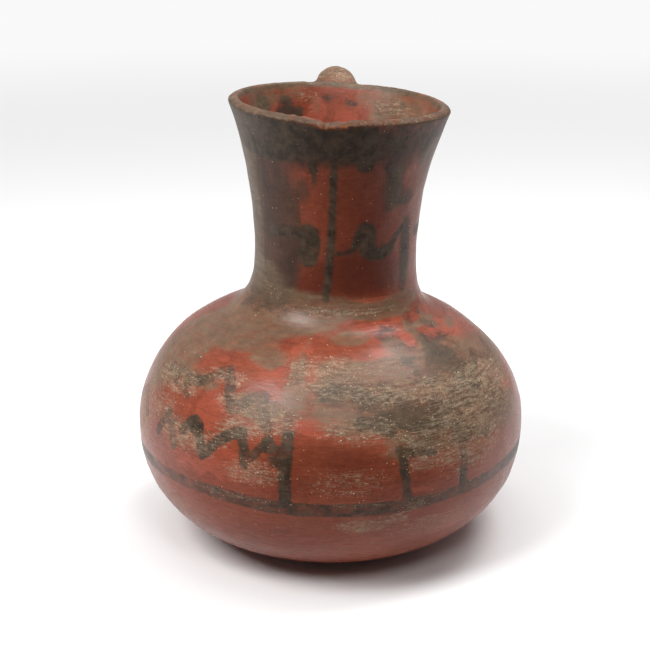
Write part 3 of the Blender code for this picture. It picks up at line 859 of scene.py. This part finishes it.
def strap_path(sizes, outline):
    """The strap's centre line: out of the back of the lip, over its crest, down behind the neck and into
    the shoulder."""
    start = np.array([HANDLE_START_RADIUS, sizes.lip_height - HANDLE_START_DROP])
    top = CAD_HIGH[2] - HANDLE_TOP_SPREAD
    crest = np.array([HANDLE_CREST_RADIUS, top - sizes.handle_thickness / 2])
    back = np.array([sizes.handle_reach - sizes.handle_thickness / 2, HANDLE_BACK_HEIGHT])
    above = outline[outline[:, 1] > sizes.belly_height]
    foot = np.array([HANDLE_FOOT_RADIUS, np.interp(-HANDLE_FOOT_RADIUS, -above[:, 0], above[:, 1])])
    foot[1] -= 2 * sizes.belly_wall

    reach = (crest[0] - start[0]) / 2
    leaving = start + np.array([reach, reach * math.tan(HANDLE_START_SLOPE)])
    rise = curve_points(start, leaving, crest - [reach, 0.0], crest, STRAP_STEPS)
    round_x = np.array([(back[0] - crest[0]) * BACK_ROUND_OUTWARD, 0.0])
    round_y = np.array([0.0, (crest[1] - back[1]) * BACK_ROUND_UPWARD])
    over = curve_points(crest, crest + round_x, back + round_y, back, STRAP_STEPS)
    drop = back[1] - foot[1]
    hanging = back - [0.0, HANGING_SHARE * drop]
    landing = foot + [LANDING_OUTWARD * drop, LANDING_UPWARD * drop]
    down = curve_points(back, hanging, landing, foot, STRAP_STEPS)
    return evened(np.concatenate([rise, over[1:], down[1:]]), STRAP_SPACING)


def vertex_places(mesh):
    places = np.empty(len(mesh.vertices) * 3)
    mesh.vertices.foreach_get("co", places)
    return places.reshape(-1, 3)


def set_vertex_places(mesh, places):
    mesh.vertices.foreach_set("co", places.ravel())
    mesh.update()


def soften_joints(mesh, roots):
    """Smooths the creases where the strap meets the wall, as a wet finger does."""
    places = vertex_places(mesh)
    near = np.zeros(len(places), dtype=bool)
    for centre, radius in roots:
        near |= np.linalg.norm(places - centre, axis=1) < radius
    shell = bmesh.new()
    shell.from_mesh(mesh)
    creases = []
    for edge in shell.edges:
        if near[edge.verts[0].index] and len(edge.link_faces) == 2:
            if edge.calc_face_angle() > CREASE_ANGLE:
                creases.append((edge.verts[0].co + edge.verts[1].co) / 2)
    shell.free()
    tree = KDTree(len(creases))
    for i, crease in enumerate(creases):
        tree.insert(crease, i)
    tree.balance()
    give = np.zeros(len(places))
    for i in np.nonzero(near)[0]:
        give[i] = max(0.0, 1 - tree.find(places[i])[2] / JOINT_REACH)
    give = smooth_share(give)

    ends = np.empty(len(mesh.edges) * 2, dtype=np.int64)
    mesh.edges.foreach_get("vertices", ends)
    ends = ends.reshape(-1, 2)
    ends = ends[(give[ends] > 0).any(axis=1)]
    both = np.concatenate([ends, ends[:, ::-1]])
    count = np.bincount(both[:, 0], minlength=len(places))
    moving = np.nonzero(give > 0)[0]
    for _ in range(JOINT_PASSES):
        pull = np.stack([np.bincount(both[:, 0], places[both[:, 1], k],
                                     minlength=len(places)) for k in range(3)], axis=1)
        middle = pull[moving] / count[moving, None]
        places[moving] += (middle - places[moving]) * give[moving, None] * JOINT_GIVE
    set_vertex_places(mesh, places)


def azimuth_of(places):
    """Degrees from the front, growing towards +X."""
    return np.degrees(np.arctan2(places[:, 0], -places[:, 1]))


def wear_lip(sizes, places):
    """Takes the chip and the ragged wear off the lip."""
    azimuth = azimuth_of(places)
    up_the_lip = smooth_share((places[:, 2] - sizes.lip_height + CHIP_REACH) / CHIP_REACH)
    depth = np.interp(azimuth, *np.array(CHIP_DEPTHS, dtype=float).T) * sizes.chip_depth
    front = np.exp(-((azimuth / LIP_WEAR_SPREAD) ** 2))
    for i in np.nonzero(up_the_lip > 0)[0]:
        spot = Vector(places[i])
        depth[i] += sum((at_front * front[i] + all_round) * noise.noise(spot * grains
                                                                        + Vector(shift)) for grains, shift,
                        all_round, at_front in LIP_WEAR)
    places[:, 2] -= depth * up_the_lip
    return places


def lean_and_slump(sizes, places):
    """Where the soft clay has let the true turned jug go, as in the solid."""
    x, y, z = places.T.copy()
    above = sizes.neck_lean * smooth_share((z - LEAN_START_HEIGHT) / LEAN_BLEND)
    up = z - LEAN_PIVOT_HEIGHT
    leaned_x = x * np.cos(above) + up * np.sin(above)
    leaned_z = LEAN_PIVOT_HEIGHT + up * np.cos(above) - x * np.sin(above)
    up_the_neck = smooth_share((z - NECK_WAIST_HEIGHT) / (sizes.lip_height - NECK_WAIST_HEIGHT))
    leaned_z -= x * math.tan(sizes.lip_dip) * up_the_neck
    slump = np.exp(-(((z - SLUMP_HEIGHT) / SLUMP_SPAN) ** 2))
    leaned_x -= SHOULDER_SLUMP * slump * smooth_share(np.hypot(x, y) / sizes.neck_radius - 1)
    return np.stack([leaned_x, y, leaned_z], axis=1)


def turned_difference(azimuth, centre):
    return (azimuth - centre + 180) % 360 - 180


def cloud_cover(zones, azimuth, height):
    """How much of each place the zones cover together, from 0 to 1."""
    clear = np.ones(len(azimuth))
    for centre, middle, half_turn, half_height, strength in zones:
        across = turned_difference(azimuth, centre) / half_turn
        up = (height * 100 - middle) / half_height
        far = np.sqrt(across**2 + up**2)
        clear *= 1 - strength * (1 - smooth_share((far - ZONE_CORE) / ZONE_FADE))
    return 1 - clear


def painted_cover(outline, azimuth, height, radius):
    """How far inside a painted stroke each place is, from 0 to 1, and how strong its nearest stroke is."""
    run = run_along(outline)
    rising = np.maximum.accumulate(outline[:, 1])
    here = np.interp(height, rising, run)
    cover = np.full(len(azimuth), -100.0)
    strongest = np.zeros(len(azimuth))
    for half_width, strength, points in STROKES:
        turn = np.array([point[0] for point in points], dtype=float)
        up = np.interp([point[1] / 100 for point in points], rising, run)
        nearest = np.full(len(azimuth), 1.0)
        for i in range(len(points) - 1):
            ax = np.radians(turned_difference(turn[i], azimuth)) * radius
            ay = up[i] - here
            step_x = math.radians(turn[i + 1] - turn[i]) * radius
            step_y = up[i + 1] - up[i]
            reach = np.maximum(step_x**2 + step_y**2, 1e-12)
            along = np.clip(-(ax * step_x + ay * step_y) / reach, 0.0, 1.0)
            nearest = np.minimum(nearest, np.hypot(ax + along * step_x, ay + along * step_y))
        edge = 0.5 + (half_width / 1000 - nearest) / (2 * STROKE_EDGE)
        strongest = np.where(edge > cover, strength, strongest)
        cover = np.maximum(cover, edge)
    return np.clip(cover, 0.0, 1.0), strongest


def surface_fields(sizes, outline, places):
    """What the finish needs to know at each place of the body, before the body leans."""
    azimuth = azimuth_of(places)
    height = places[:, 2]
    radius = np.hypot(places[:, 0], places[:, 1])
    rising = np.maximum.accumulate(outline[:, 1])
    outer = np.interp(height, rising, outline[:, 0])
    inside = np.clip((outer - radius) / wall_at(sizes, height), 0.0, 1.0)
    inside *= height > sizes.base_wall / 2
    outside = 1 - smooth_share((inside - INSIDE_START) / INSIDE_FADE)
    standing_off = smooth_share((radius - outer - HANDLE_STANDOFF) / HANDLE_STANDOFF_FADE)
    over_lip = smooth_share((height - sizes.lip_height - HANDLE_OVER_LIP) / HANDLE_OVER_LIP_FADE)
    handle = np.maximum(standing_off * (height > HANDLE_LOWEST), over_lip)
    crest = smooth_share((height - sizes.lip_height + CREST_DROP) / CREST_FADE) * (1 - handle)
    wall = outside * (1 - handle)
    within = 1 - outside

    def clouds(outer_zones, inner_zones):
        outer_cover = cloud_cover(outer_zones, azimuth, height)
        return wall * outer_cover + within * cloud_cover(inner_zones, azimuth, height)

    dust = clouds(DUST_AND_HIGHLIGHT, INSIDE_DUST)
    soot = clouds(SOOT, INSIDE_SOOT)
    film = clouds(FILM_AND_SHEEN, INSIDE_FILM)
    up_the_strap = smooth_share((height - HANDLE_BACK_HEIGHT) / STRAP_TOP_FADE)
    film += handle * (HANDLE_FILM + HANDLE_TOP_FILM * up_the_strap)
    rubbed = cloud_cover(RUBBED, azimuth, height) * (1 - handle)
    painted, strength = painted_cover(outline, azimuth, height, radius)
    cleared = np.exp(-((azimuth / CREST_CLEARED_SPREAD) ** 2))
    rubbed_front = np.exp(-(((azimuth - CREST_RUBBED_AZIMUTH) / CREST_RUBBED_SPREAD) ** 2))
    handle_dust = handle * (HANDLE_DUST + HANDLE_TOP_DUST * up_the_strap)
    return {
        "paint": wall * painted * (1 - CREST_PAINT_LOSS * crest),
        "paint_strength": strength,
        "soot": np.maximum(soot * (1 - crest), crest * CREST_SOOT) + handle * HANDLE_SOOT,
        "film": np.maximum(film, crest * (CREST_FILM - CREST_FILM_CLEARED * cleared)),
        "dust": np.maximum(dust + handle_dust, crest * CREST_DUST),
        "bright_slip": clouds(BRIGHT_SLIP_AND_HIGHLIGHT, INSIDE_BRIGHT_SLIP),
        "deep_slip": wall * cloud_cover(DEEP_SLIP, azimuth, height),
        "rubbed": np.maximum(rubbed, crest * (CREST_RUBBED + CREST_RUBBED_FRONT * rubbed_front)),
        "within": within,
        "flecks": np.clip(wall * (0.003 + 0.7 * dust) * (1 - rubbed) * (height > 0.004), 0.0, 1.0),
    }


def ragged_mask_group():
    """A mask with a ragged edge where an amount passes a half."""
    graph, given, result = new_tree("ragged_mask", "ShaderNodeTree", [
        ("Amount", "Float", 0.0),
        ("Vector", "Vector", None),
        ("Scale", "Float", 200.0),
        ("Raggedness", "Float", 1.0),
        ("Softness", "Float", 0.1),
    ], [("Mask", "Float")])
    texture = graph.noise(given["Vector"], given["Scale"], detail=8.0, roughness=0.74)
    swing = graph.times(graph.minus(texture, 0.5), given["Raggedness"])
    level = graph.plus(given["Amount"], swing)
    low = graph.minus(0.5, given["Softness"])
    high = graph.plus(0.5, given["Softness"])
    graph.feed(result.inputs["Mask"], graph.rise(level, low, high))
    return graph.tree


def mottle_group():
    """Two colours that run into each other in uneven patches."""
    graph, given, result = new_tree("mottle", "ShaderNodeTree", [
        ("First", "Color", None),
        ("Second", "Color", None),
        ("Vector", "Vector", None),
        ("Scale", "Float", 60.0),
        ("Contrast", "Float", 0.2),
    ], [("Colour", "Color")])
    texture = graph.noise(given["Vector"], given["Scale"], detail=6.0, roughness=0.62)
    low = graph.minus(0.5, given["Contrast"])
    high = graph.plus(0.5, given["Contrast"])
    patches = graph.rise(texture, low, high)
    graph.feed(result.inputs["Colour"], graph.mix(patches, given["First"], given["Second"]))
    return graph.tree


def specks_group():
    """Small separate specks, in the cells that a coverage lets through."""
    graph, given, result = new_tree("specks", "ShaderNodeTree", [
        ("Vector", "Vector", None),
        ("Scale", "Float", 900.0),
        ("Coverage", "Float", 0.1),
    ], [("Mask", "Float")])
    cells = graph.add("ShaderNodeTexVoronoi", {"Vector": given["Vector"], "Scale": given["Scale"],
                                               "Randomness": 1.0})
    pick = graph.add("ShaderNodeSeparateColor", {0: cells.outputs["Color"]})
    chosen = graph.math("LESS_THAN", pick.outputs["Red"], given["Coverage"])
    reach = graph.times_plus(pick.outputs["Green"], 0.28, 0.14)
    spot = graph.rise(cells.outputs["Distance"], reach, graph.times(reach, 0.6))
    graph.feed(result.inputs["Mask"], graph.times(chosen, spot))
    return graph.tree


def uneven_group():
    """A brightness near 1 that changes in clouds, in marks drawn out round the body and in fine grain."""
    graph, given, result = new_tree("uneven", "ShaderNodeTree", [
        ("Vector", "Vector", None),
        ("Clouds", "Float", 0.5),
        ("Marks", "Float", 0.5),
        ("Grain", "Float", 0.4),
    ], [("Brightness", "Float")])
    drawn = graph.stretched(given["Vector"], (1.0, 1.0, 3.2))
    bright = 1.0
    for amount, vector, scale, detail in (("Clouds", given["Vector"], 48.0, 4.0),
                                          ("Marks", drawn, 260.0, 6.0),
                                          ("Grain", given["Vector"], 1500.0, 3.0)):
        texture = graph.noise(vector, scale, detail=detail, roughness=0.62)
        swing = graph.minus(texture, 0.5)
        bright = graph.times_plus(swing, given[amount], bright)
    graph.feed(result.inputs["Brightness"], graph.larger(bright, 0.2))
    return graph.tree


def new_material(name):
    """A material, its graph, its shader and the place on the object that it colours."""
    material = bpy.data.materials.new(name)
    material.use_nodes = True
    graph = Graph(material.node_tree)
    at = graph.add("ShaderNodeTexCoord").outputs["Object"]
    return material, graph, material.node_tree.nodes["Principled BSDF"], at


def slipware_material(finish):
    """Burnished red slip with everything that lies on it, from the body's own fields."""
    material, graph, shader, at = new_material("fired_clay")
    ragged = bpy.data.node_groups["ragged_mask"]
    specks = bpy.data.node_groups["specks"]
    uneven = bpy.data.node_groups["uneven"]
    field = {name: graph.attribute(name) for name in (
        "paint", "paint_strength", "soot", "film", "dust", "bright_slip", "deep_slip", "rubbed", "within")}

    # Marks of the burnishing stone run round the body, so their patterns are drawn out sideways
    drawn = graph.stretched(at, (1.0, 1.0, 2.4))
    round_the_body = graph.stretched(at, (70.0, 70.0, 1000.0))
    up_the_neck = graph.stretched(at, (900.0, 900.0, 80.0))
    above = graph.rise(graph.part(at, "Z"), *NECK_FINISH_START)
    streaks = graph.blend(above, graph.noise(round_the_body, 1.0, detail=4.0, roughness=0.6),
                          graph.noise(up_the_neck, 1.0, detail=4.0, roughness=0.6))
    smeared = graph.stretched(at, (130.0, 130.0, 780.0))
    tilted = graph.stretched(at, (230.0, 230.0, 1900.0), rotation=(0.15, 0.42, 0.0))
    scrapes = graph.noise(tilted, 1.0, detail=3.0, roughness=0.6)

    def blotched(first, second, vector, scale, contrast=0.2):
        return graph.group(bpy.data.node_groups["mottle"], first=first, second=second, vector=vector,
                           scale=scale, contrast=contrast)

    def cover(name, vector, scale, raggedness, softness, opacity):
        mask = graph.group(ragged, amount=field[name], vector=vector, scale=scale, raggedness=raggedness,
                           softness=softness)
        return graph.times(mask, opacity)

    slip = blotched(finish.slip, finish.slip_pale, at, 42.0)
    finer = blotched(finish.slip, finish.slip_pale, drawn, 300.0, 0.18)
    slip = graph.mix(0.4, slip, finer)
    slip = graph.mix(cover("deep_slip", at, 40.0, 0.9, 0.5, 0.9), slip, finish.slip_deep)
    # Brighter orange slip, and a painted highlight on the left shoulder
    slip = graph.mix(cover("bright_slip", drawn, 130.0, 1.5, 0.12, 0.85), slip, finish.slip_bright_and_highlight)
    slip = graph.mix(graph.times(graph.rise(streaks, 0.52, 0.74), 0.45), slip, finish.slip_deep)

    upright = graph.stretched(at, (3.0, 3.0, 0.5))
    soot = graph.blend(above, cover("soot", at, 42.0, 1.0, 0.36, 0.93),
                       cover("soot", upright, 42.0, 1.5, 0.42, 0.93))
    spotted = graph.group(ragged, amount=field["soot"], vector=drawn, scale=120.0, raggedness=2.2,
                          softness=0.24)
    below = graph.minus(1.0, above)
    soot = graph.blend(graph.larger(field["within"], below), soot, spotted)
    soot_tone = blotched(finish.soot, finish.soot_brown, at, 75.0, 0.25)
    ground = graph.mix(soot, slip, soot_tone)

    paint_shape = graph.group(ragged, amount=field["paint"], vector=at, scale=360.0, raggedness=1.05,
                              softness=graph.times_plus(above, 0.20, 0.19))
    wear = graph.noise(drawn, 210.0, detail=7.0, roughness=0.72)
    holding = graph.times_plus(graph.minus(wear, 0.5), -1.5, field["paint_strength"])
    paint = graph.times(paint_shape, graph.rise(holding, 0.12, 0.92))
    paint_tone = blotched(finish.paint, finish.paint_thin, at, 260.0)
    painted = graph.mix(paint, ground, paint_tone)

    # Film, and painted sheen on the left edges and the left shoulder
    film = graph.blend(above, cover("film", drawn, 80.0, 1.5, 0.24, 0.86),
                       cover("film", upright, 60.0, 1.2, 0.44, 0.86))
    film_wear = graph.rise(graph.noise(smeared, 1.0, detail=7.0, roughness=0.75), 0.36, 0.62)
    film = graph.times(film, graph.times_plus(film_wear, 0.42, 0.58))
    marked = graph.larger(paint, graph.times(graph.times(spotted, below), 0.75))
    film = graph.times(film, graph.times_plus(marked, -0.70, 1.0))
    film_tone = blotched(finish.film, finish.film_dark, drawn, 95.0, 0.42)
    dark_streak = graph.rise(graph.noise(smeared, 0.55, detail=6.0, roughness=0.7), 0.46, 0.62)
    fine_streak = graph.rise(graph.noise(smeared, 2.3, detail=5.0, roughness=0.7), 0.47, 0.60)
    where_dusty = graph.rise(field["dust"], 0.05, 0.55)
    dark_streak = graph.larger(dark_streak, graph.times(fine_streak, where_dusty))
    darkest = graph.times_plus(where_dusty, 0.60, 0.32)
    darkened = graph.times_plus(dark_streak, darkest, graph.times(where_dusty, 0.22))
    film_tone = graph.mix(graph.math("MINIMUM", darkened, 1.0), film_tone, finish.film_dark)
    filmed = graph.mix(film, painted, film_tone)

    # Dust, and a painted highlight up the right of the neck
    dust = cover("dust", drawn, 520.0, 2.6, 0.14, 0.80)
    patchy = graph.rise(graph.noise(smeared, 1.6, detail=6.0, roughness=0.7), 0.42, 0.62)
    scraped = graph.times(graph.rise(scrapes, 0.54, 0.64), graph.rise(field["dust"], 0.05, 0.7))
    dust = graph.times(dust, graph.times_plus(patchy, 0.85, 0.08))
    dust = graph.larger(dust, graph.times(scraped, 0.55))
    dust = graph.times(dust, graph.times_plus(paint, -0.45, 1.0))
    dust_tone = blotched(finish.dust, finish.film, at, 700.0)
    dusty = graph.mix(dust, filmed, dust_tone)

    coverage = graph.times_plus(field["dust"], 0.28, 0.013)
    coverage = graph.times(coverage, graph.minus(1.0, field["within"]))
    fine = graph.group(specks, vector=at, scale=1700.0, coverage=coverage)
    coarse = graph.group(specks, vector=drawn, scale=800.0, coverage=graph.times(coverage, 0.5))
    speck = graph.larger(fine, coarse)
    speckled = graph.mix(graph.times(speck, 0.75), dusty, finish.fleck)

    bare = graph.group(ragged, amount=field["rubbed"], vector=at, scale=520.0, raggedness=1.3,
                       softness=0.14)
    clay_tone = blotched(finish.clay, finish.soot_brown, at, 700.0, 0.12)
    final = graph.mix(bare, speckled, clay_tone)
    brightness = graph.group(uneven, vector=at, clouds=0.55, marks=0.75, grain=0.55)
    graph.feed(shader.inputs["Base Color"], graph.mix(1.0, final, brightness, blend="MULTIPLY"))

    rough = graph.times_plus(streaks, 0.18, finish.slip_roughness - 0.09)
    rough = graph.blend(graph.times(soot, 0.6), rough, 0.48)
    rough = graph.blend(paint, rough, 0.40)
    rough = graph.blend(graph.times(film, 0.8), rough, 0.34)
    rough = graph.times_plus(above, 0.10, rough)
    rough = graph.blend(dust, rough, finish.dust_roughness)
    rough = graph.blend(graph.larger(bare, speck), rough, 0.9)
    graph.feed(shader.inputs["Roughness"], rough)

    grit = graph.noise(at, 2600.0, detail=3.0, roughness=0.6)
    lumps = graph.noise(at, 260.0, detail=4.0, roughness=0.55)
    pits = graph.group(specks, vector=at, scale=480.0, coverage=0.05)
    height = graph.times(lumps, 0.45)
    for relief, amount in ((streaks, 0.34), (scrapes, 0.16), (grit, 0.10), (graph.times(dust, grit), 0.45),
                           (paint, 0.05), (speck, 0.15), (pits, -0.5), (graph.times(bare, lumps), 1.2)):
        height = graph.times_plus(relief, amount, height)
    bump = graph.add("ShaderNodeBump", {"Height": height, "Strength": 0.6, "Distance": 0.0004})
    graph.feed(shader.inputs["Normal"], bump.outputs[0])
    shader.inputs["Specular IOR Level"].default_value = 0.28
    return material


def fleck_material(finish):
    """Dull cream lime."""
    material, graph, shader, at = new_material("lime")
    tone = graph.group(bpy.data.node_groups["mottle"], first=finish.fleck, second=finish.dust, vector=at,
                       scale=300.0, contrast=0.2)
    graph.feed(shader.inputs["Base Color"], tone)
    shader.inputs["Roughness"].default_value = 0.9
    return material


def build_body(sizes, material):
    """The whole fired body as one mesh, with its finish's fields, leaned as the photographed one leans."""
    wall_tree = turned_wall_tree()
    full = outer_outline(sizes)
    outline = evened(full, ROW_SPACING)
    hollow = evened(sunk_outline(sizes, full), INSIDE_ROW_SPACING)
    crest = crest_points(sizes, hollow[-1], outline[-1])
    dents = {"dent_depth": DENT_DEPTH, "dent_size": DENT_SIZE, "ripple_depth": BURNISH_DEPTH,
             "ripple_size": BURNISH_SIZE}
    section = np.concatenate([hollow, crest, outline[::-1]])
    wall = turned("wall", section, wall_tree, steps_round=sizes.steps_round, material=material, **dents)

    sunk = sunk_outline(sizes, full, HANDLE_SEAT_DEPTH)
    top = sunk[-1] + (sunk[-1] - sunk[-2]) / (sunk[-1, 1] - sunk[-2, 1]) * CORE_OVER_LIP
    core = turned("core", np.concatenate([[[0.0, top[1]]], [top], sunk[::-1][::CORE_ROW_SKIP]]), wall_tree,
                  steps_round=CORE_STEPS_ROUND, material=material)
    path = strap_path(sizes, full)
    line = line_object("strap_path", [(HANDLE_SIDE, reach, height) for reach, height in path])
    strap = faced_outward(grown(line, strap_tree(), "strap", width=sizes.handle_width,
                                thickness=sizes.handle_thickness, crown=sizes.handle_crown,
                                lip_spread=sizes.handle_lip_spread, foot_spread=sizes.handle_foot_spread,
                                root_length=HANDLE_ROOT_SHARE * sizes.handle_width, material=material))
    strap = combine(strap, core, "DIFFERENCE", "trimmed_strap")
    body = combine(wall, strap, "UNION", "jug_body")

    lip_root = (Vector((HANDLE_SIDE, LIP_ROOT_RADIUS, sizes.lip_height)), LIP_ROOT_REACH)
    foot_root = (Vector((HANDLE_SIDE, HANDLE_FOOT_RADIUS, FOOT_ROOT_HEIGHT)), FOOT_ROOT_REACH)
    soften_joints(body.data, [lip_root, foot_root])
    places = vertex_places(body.data)
    fields = surface_fields(sizes, full, places)
    places = wear_lip(sizes, places)
    set_vertex_places(body.data, lean_and_slump(sizes, places))
    for name, values in fields.items():
        attribute = body.data.attributes.new(name, "FLOAT", "POINT")
        attribute.data.foreach_set("value", values.astype(np.float32))
    body.data.materials.clear()
    body.data.materials.append(material)
    body.data.shade_smooth()
    return body


def soft_light(name, azimuth, elevation, size, watts):
    """A square area light that faces the middle of the jug from an azimuth and an elevation in degrees."""
    data = bpy.data.lights.new(name, "AREA")
    data.size = size
    data.energy = watts
    turn = Euler((math.radians(90 - elevation), 0.0, math.radians(azimuth)))
    light = bpy.data.objects.new(name, data)
    light.rotation_euler = turn
    light.location = Vector((0.0, 0.0, JUG_MIDDLE)) + turn.to_matrix() @ Vector((0.0, 0.0, LIGHT_DISTANCE))
    bpy.context.scene.collection.objects.link(light)


def floor_material(studio):
    """A pale floor that runs out into the backdrop, and throws less light back from the dark side of the
    room."""
    material, graph, lit, at = new_material("floor")
    lit.inputs["Base Color"].default_value = studio.floor
    lit.inputs["Roughness"].default_value = 0.9
    lit.inputs["Specular IOR Level"].default_value = 0.1
    away = graph.rise(graph.vector("LENGTH", at, result=1), *FLOOR_FADE)
    beyond = graph.add("ShaderNodeEmission", {"Color": (1.0, 1.0, 1.0, 1.0), "Strength": studio.backdrop})
    seen = graph.add("ShaderNodeMixShader", {0: away, 1: lit.outputs[0], 2: beyond.outputs[0]})
    lit_side = graph.rise(graph.part(at, "Y"), *BOUNCE_FADE)
    shade = graph.mix(lit_side, (studio.front_bounce, studio.front_bounce, studio.front_bounce, 1.0),
                      studio.floor)
    thrown = graph.add("ShaderNodeBsdfDiffuse", {"Color": shade})
    camera_sees = graph.add("ShaderNodeLightPath").outputs["Is Camera Ray"]
    mixed = graph.add("ShaderNodeMixShader", {0: camera_sees, 1: thrown.outputs[0], 2: seen.outputs[0]})
    graph.feed(material.node_tree.nodes["Material Output"].inputs["Surface"], mixed.outputs[0])
    return material


def room_world(studio):
    """Dim light from the front of the room and more from its back, and a pale backdrop where the camera
    looks past the floor."""
    world = bpy.data.worlds.new("room")
    world.use_nodes = True
    graph = Graph(world.node_tree)
    room = world.node_tree.nodes["Background"]
    room.inputs["Color"].default_value = (1.0, 1.0, 1.0, 1.0)
    toward = graph.add("ShaderNodeTexCoord").outputs["Generated"]
    backward = graph.rise(graph.part(toward, "Y"), *ROOM_FADE)
    graph.feed(room.inputs["Strength"], graph.blend(backward, studio.room_light, studio.back_light))
    backdrop = graph.add("ShaderNodeBackground", {"Color": (1.0, 1.0, 1.0, 1.0),
                                                  "Strength": studio.backdrop})
    seen = graph.add("ShaderNodeLightPath").outputs["Is Camera Ray"]
    mixed = graph.add("ShaderNodeMixShader", {0: seen, 1: room.outputs[0], 2: backdrop.outputs[0]})
    graph.feed(world.node_tree.nodes["World Output"].inputs["Surface"], mixed.outputs[0])
    return world


class JUG_OT_body(bpy.types.Operator):
    """Models the jug's body and handle in one piece and gives it its finish"""

    bl_idname = "jug.body"
    bl_label = "Make the Jug"

    def execute(self, context):
        for make_group in (ragged_mask_group, mottle_group, specks_group, uneven_group):
            make_group()
        body = build_body(context.scene.jug_sizes, slipware_material(context.scene.jug_finish))
        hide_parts("jug")
        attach(body, "root")
        return {"FINISHED"}


class JUG_OT_flecks(bpy.types.Operator):
    """Scatters lime flecks over the outside of the jug"""

    bl_idname = "jug.flecks"
    bl_label = "Add Lime Flecks"

    def execute(self, context):
        body = bpy.data.objects["jug_body"]
        surface = bpy.data.objects.new("fleck_ground", body.data.copy())
        context.scene.collection.objects.link(surface)
        flecks = grown(surface, flecks_tree(), "lime_flecks",
                       material=fleck_material(context.scene.jug_finish))
        flecks.data.shade_smooth()
        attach(flecks, "root")
        return {"FINISHED"}


class JUG_OT_studio(bpy.types.Operator):
    """Lays the floor and sets the lights and the camera"""

    bl_idname = "jug.studio"
    bl_label = "Set the Studio"

    def execute(self, context):
        scene = context.scene
        studio = scene.jug_studio
        bpy.ops.mesh.primitive_plane_add(size=FLOOR_SIZE)
        floor = context.object
        floor.name = "floor"
        floor.data.materials.append(floor_material(studio))

        for name, azimuth, elevation, size, power_name in LIGHTS:
            soft_light(name, azimuth, elevation, size, getattr(studio, power_name))
        scene.world = room_world(studio)
        scene.view_settings.view_transform = "Standard"

        data = bpy.data.cameras.new("camera")
        data.sensor_fit = "HORIZONTAL"
        data.angle = studio.field_of_view
        camera = bpy.data.objects.new("camera", data)
        camera.location = (0.0, -studio.camera_distance, studio.camera_height)
        camera.rotation_euler = Euler((math.pi / 2 - studio.camera_pitch, 0.0, -studio.camera_yaw))
        scene.collection.objects.link(camera)
        scene.camera = camera
        return {"FINISHED"}


class JUG_PT_panel(bpy.types.Panel):
    """The jug's settings and the buttons that make it"""

    bl_idname = "JUG_PT_panel"
    bl_label = "Handled Jug"
    bl_space_type = "VIEW_3D"
    bl_region_type = "UI"
    bl_category = "Jug"

    def draw(self, context):
        scene = context.scene
        for title, group, operator in (
            ("Sizes", scene.jug_sizes, JUG_OT_body.bl_idname),
            ("Finish", scene.jug_finish, JUG_OT_flecks.bl_idname),
            ("Studio", scene.jug_studio, JUG_OT_studio.bl_idname),
        ):
            box = self.layout.box()
            box.label(text=title)
            for name in group.bl_rna.properties.keys():
                if name not in ("rna_type", "name"):
                    box.prop(group, name)
            box.operator(operator)


CLASSES = (JugSizes, JugFinish, JugStudio, JUG_OT_body, JUG_OT_flecks, JUG_OT_studio, JUG_PT_panel)


def register():
    for kind in CLASSES:
        bpy.utils.register_class(kind)
    bpy.types.Scene.jug_sizes = PointerProperty(type=JugSizes)
    bpy.types.Scene.jug_finish = PointerProperty(type=JugFinish)
    bpy.types.Scene.jug_studio = PointerProperty(type=JugStudio)


def unregister():
    del bpy.types.Scene.jug_studio
    del bpy.types.Scene.jug_finish
    del bpy.types.Scene.jug_sizes
    for kind in reversed(CLASSES):
        bpy.utils.unregister_class(kind)


def main():
    register()
    bpy.ops.jug.body()
    bpy.ops.jug.flecks()
    bpy.ops.jug.studio()


if __name__ == "__main__":
    main()
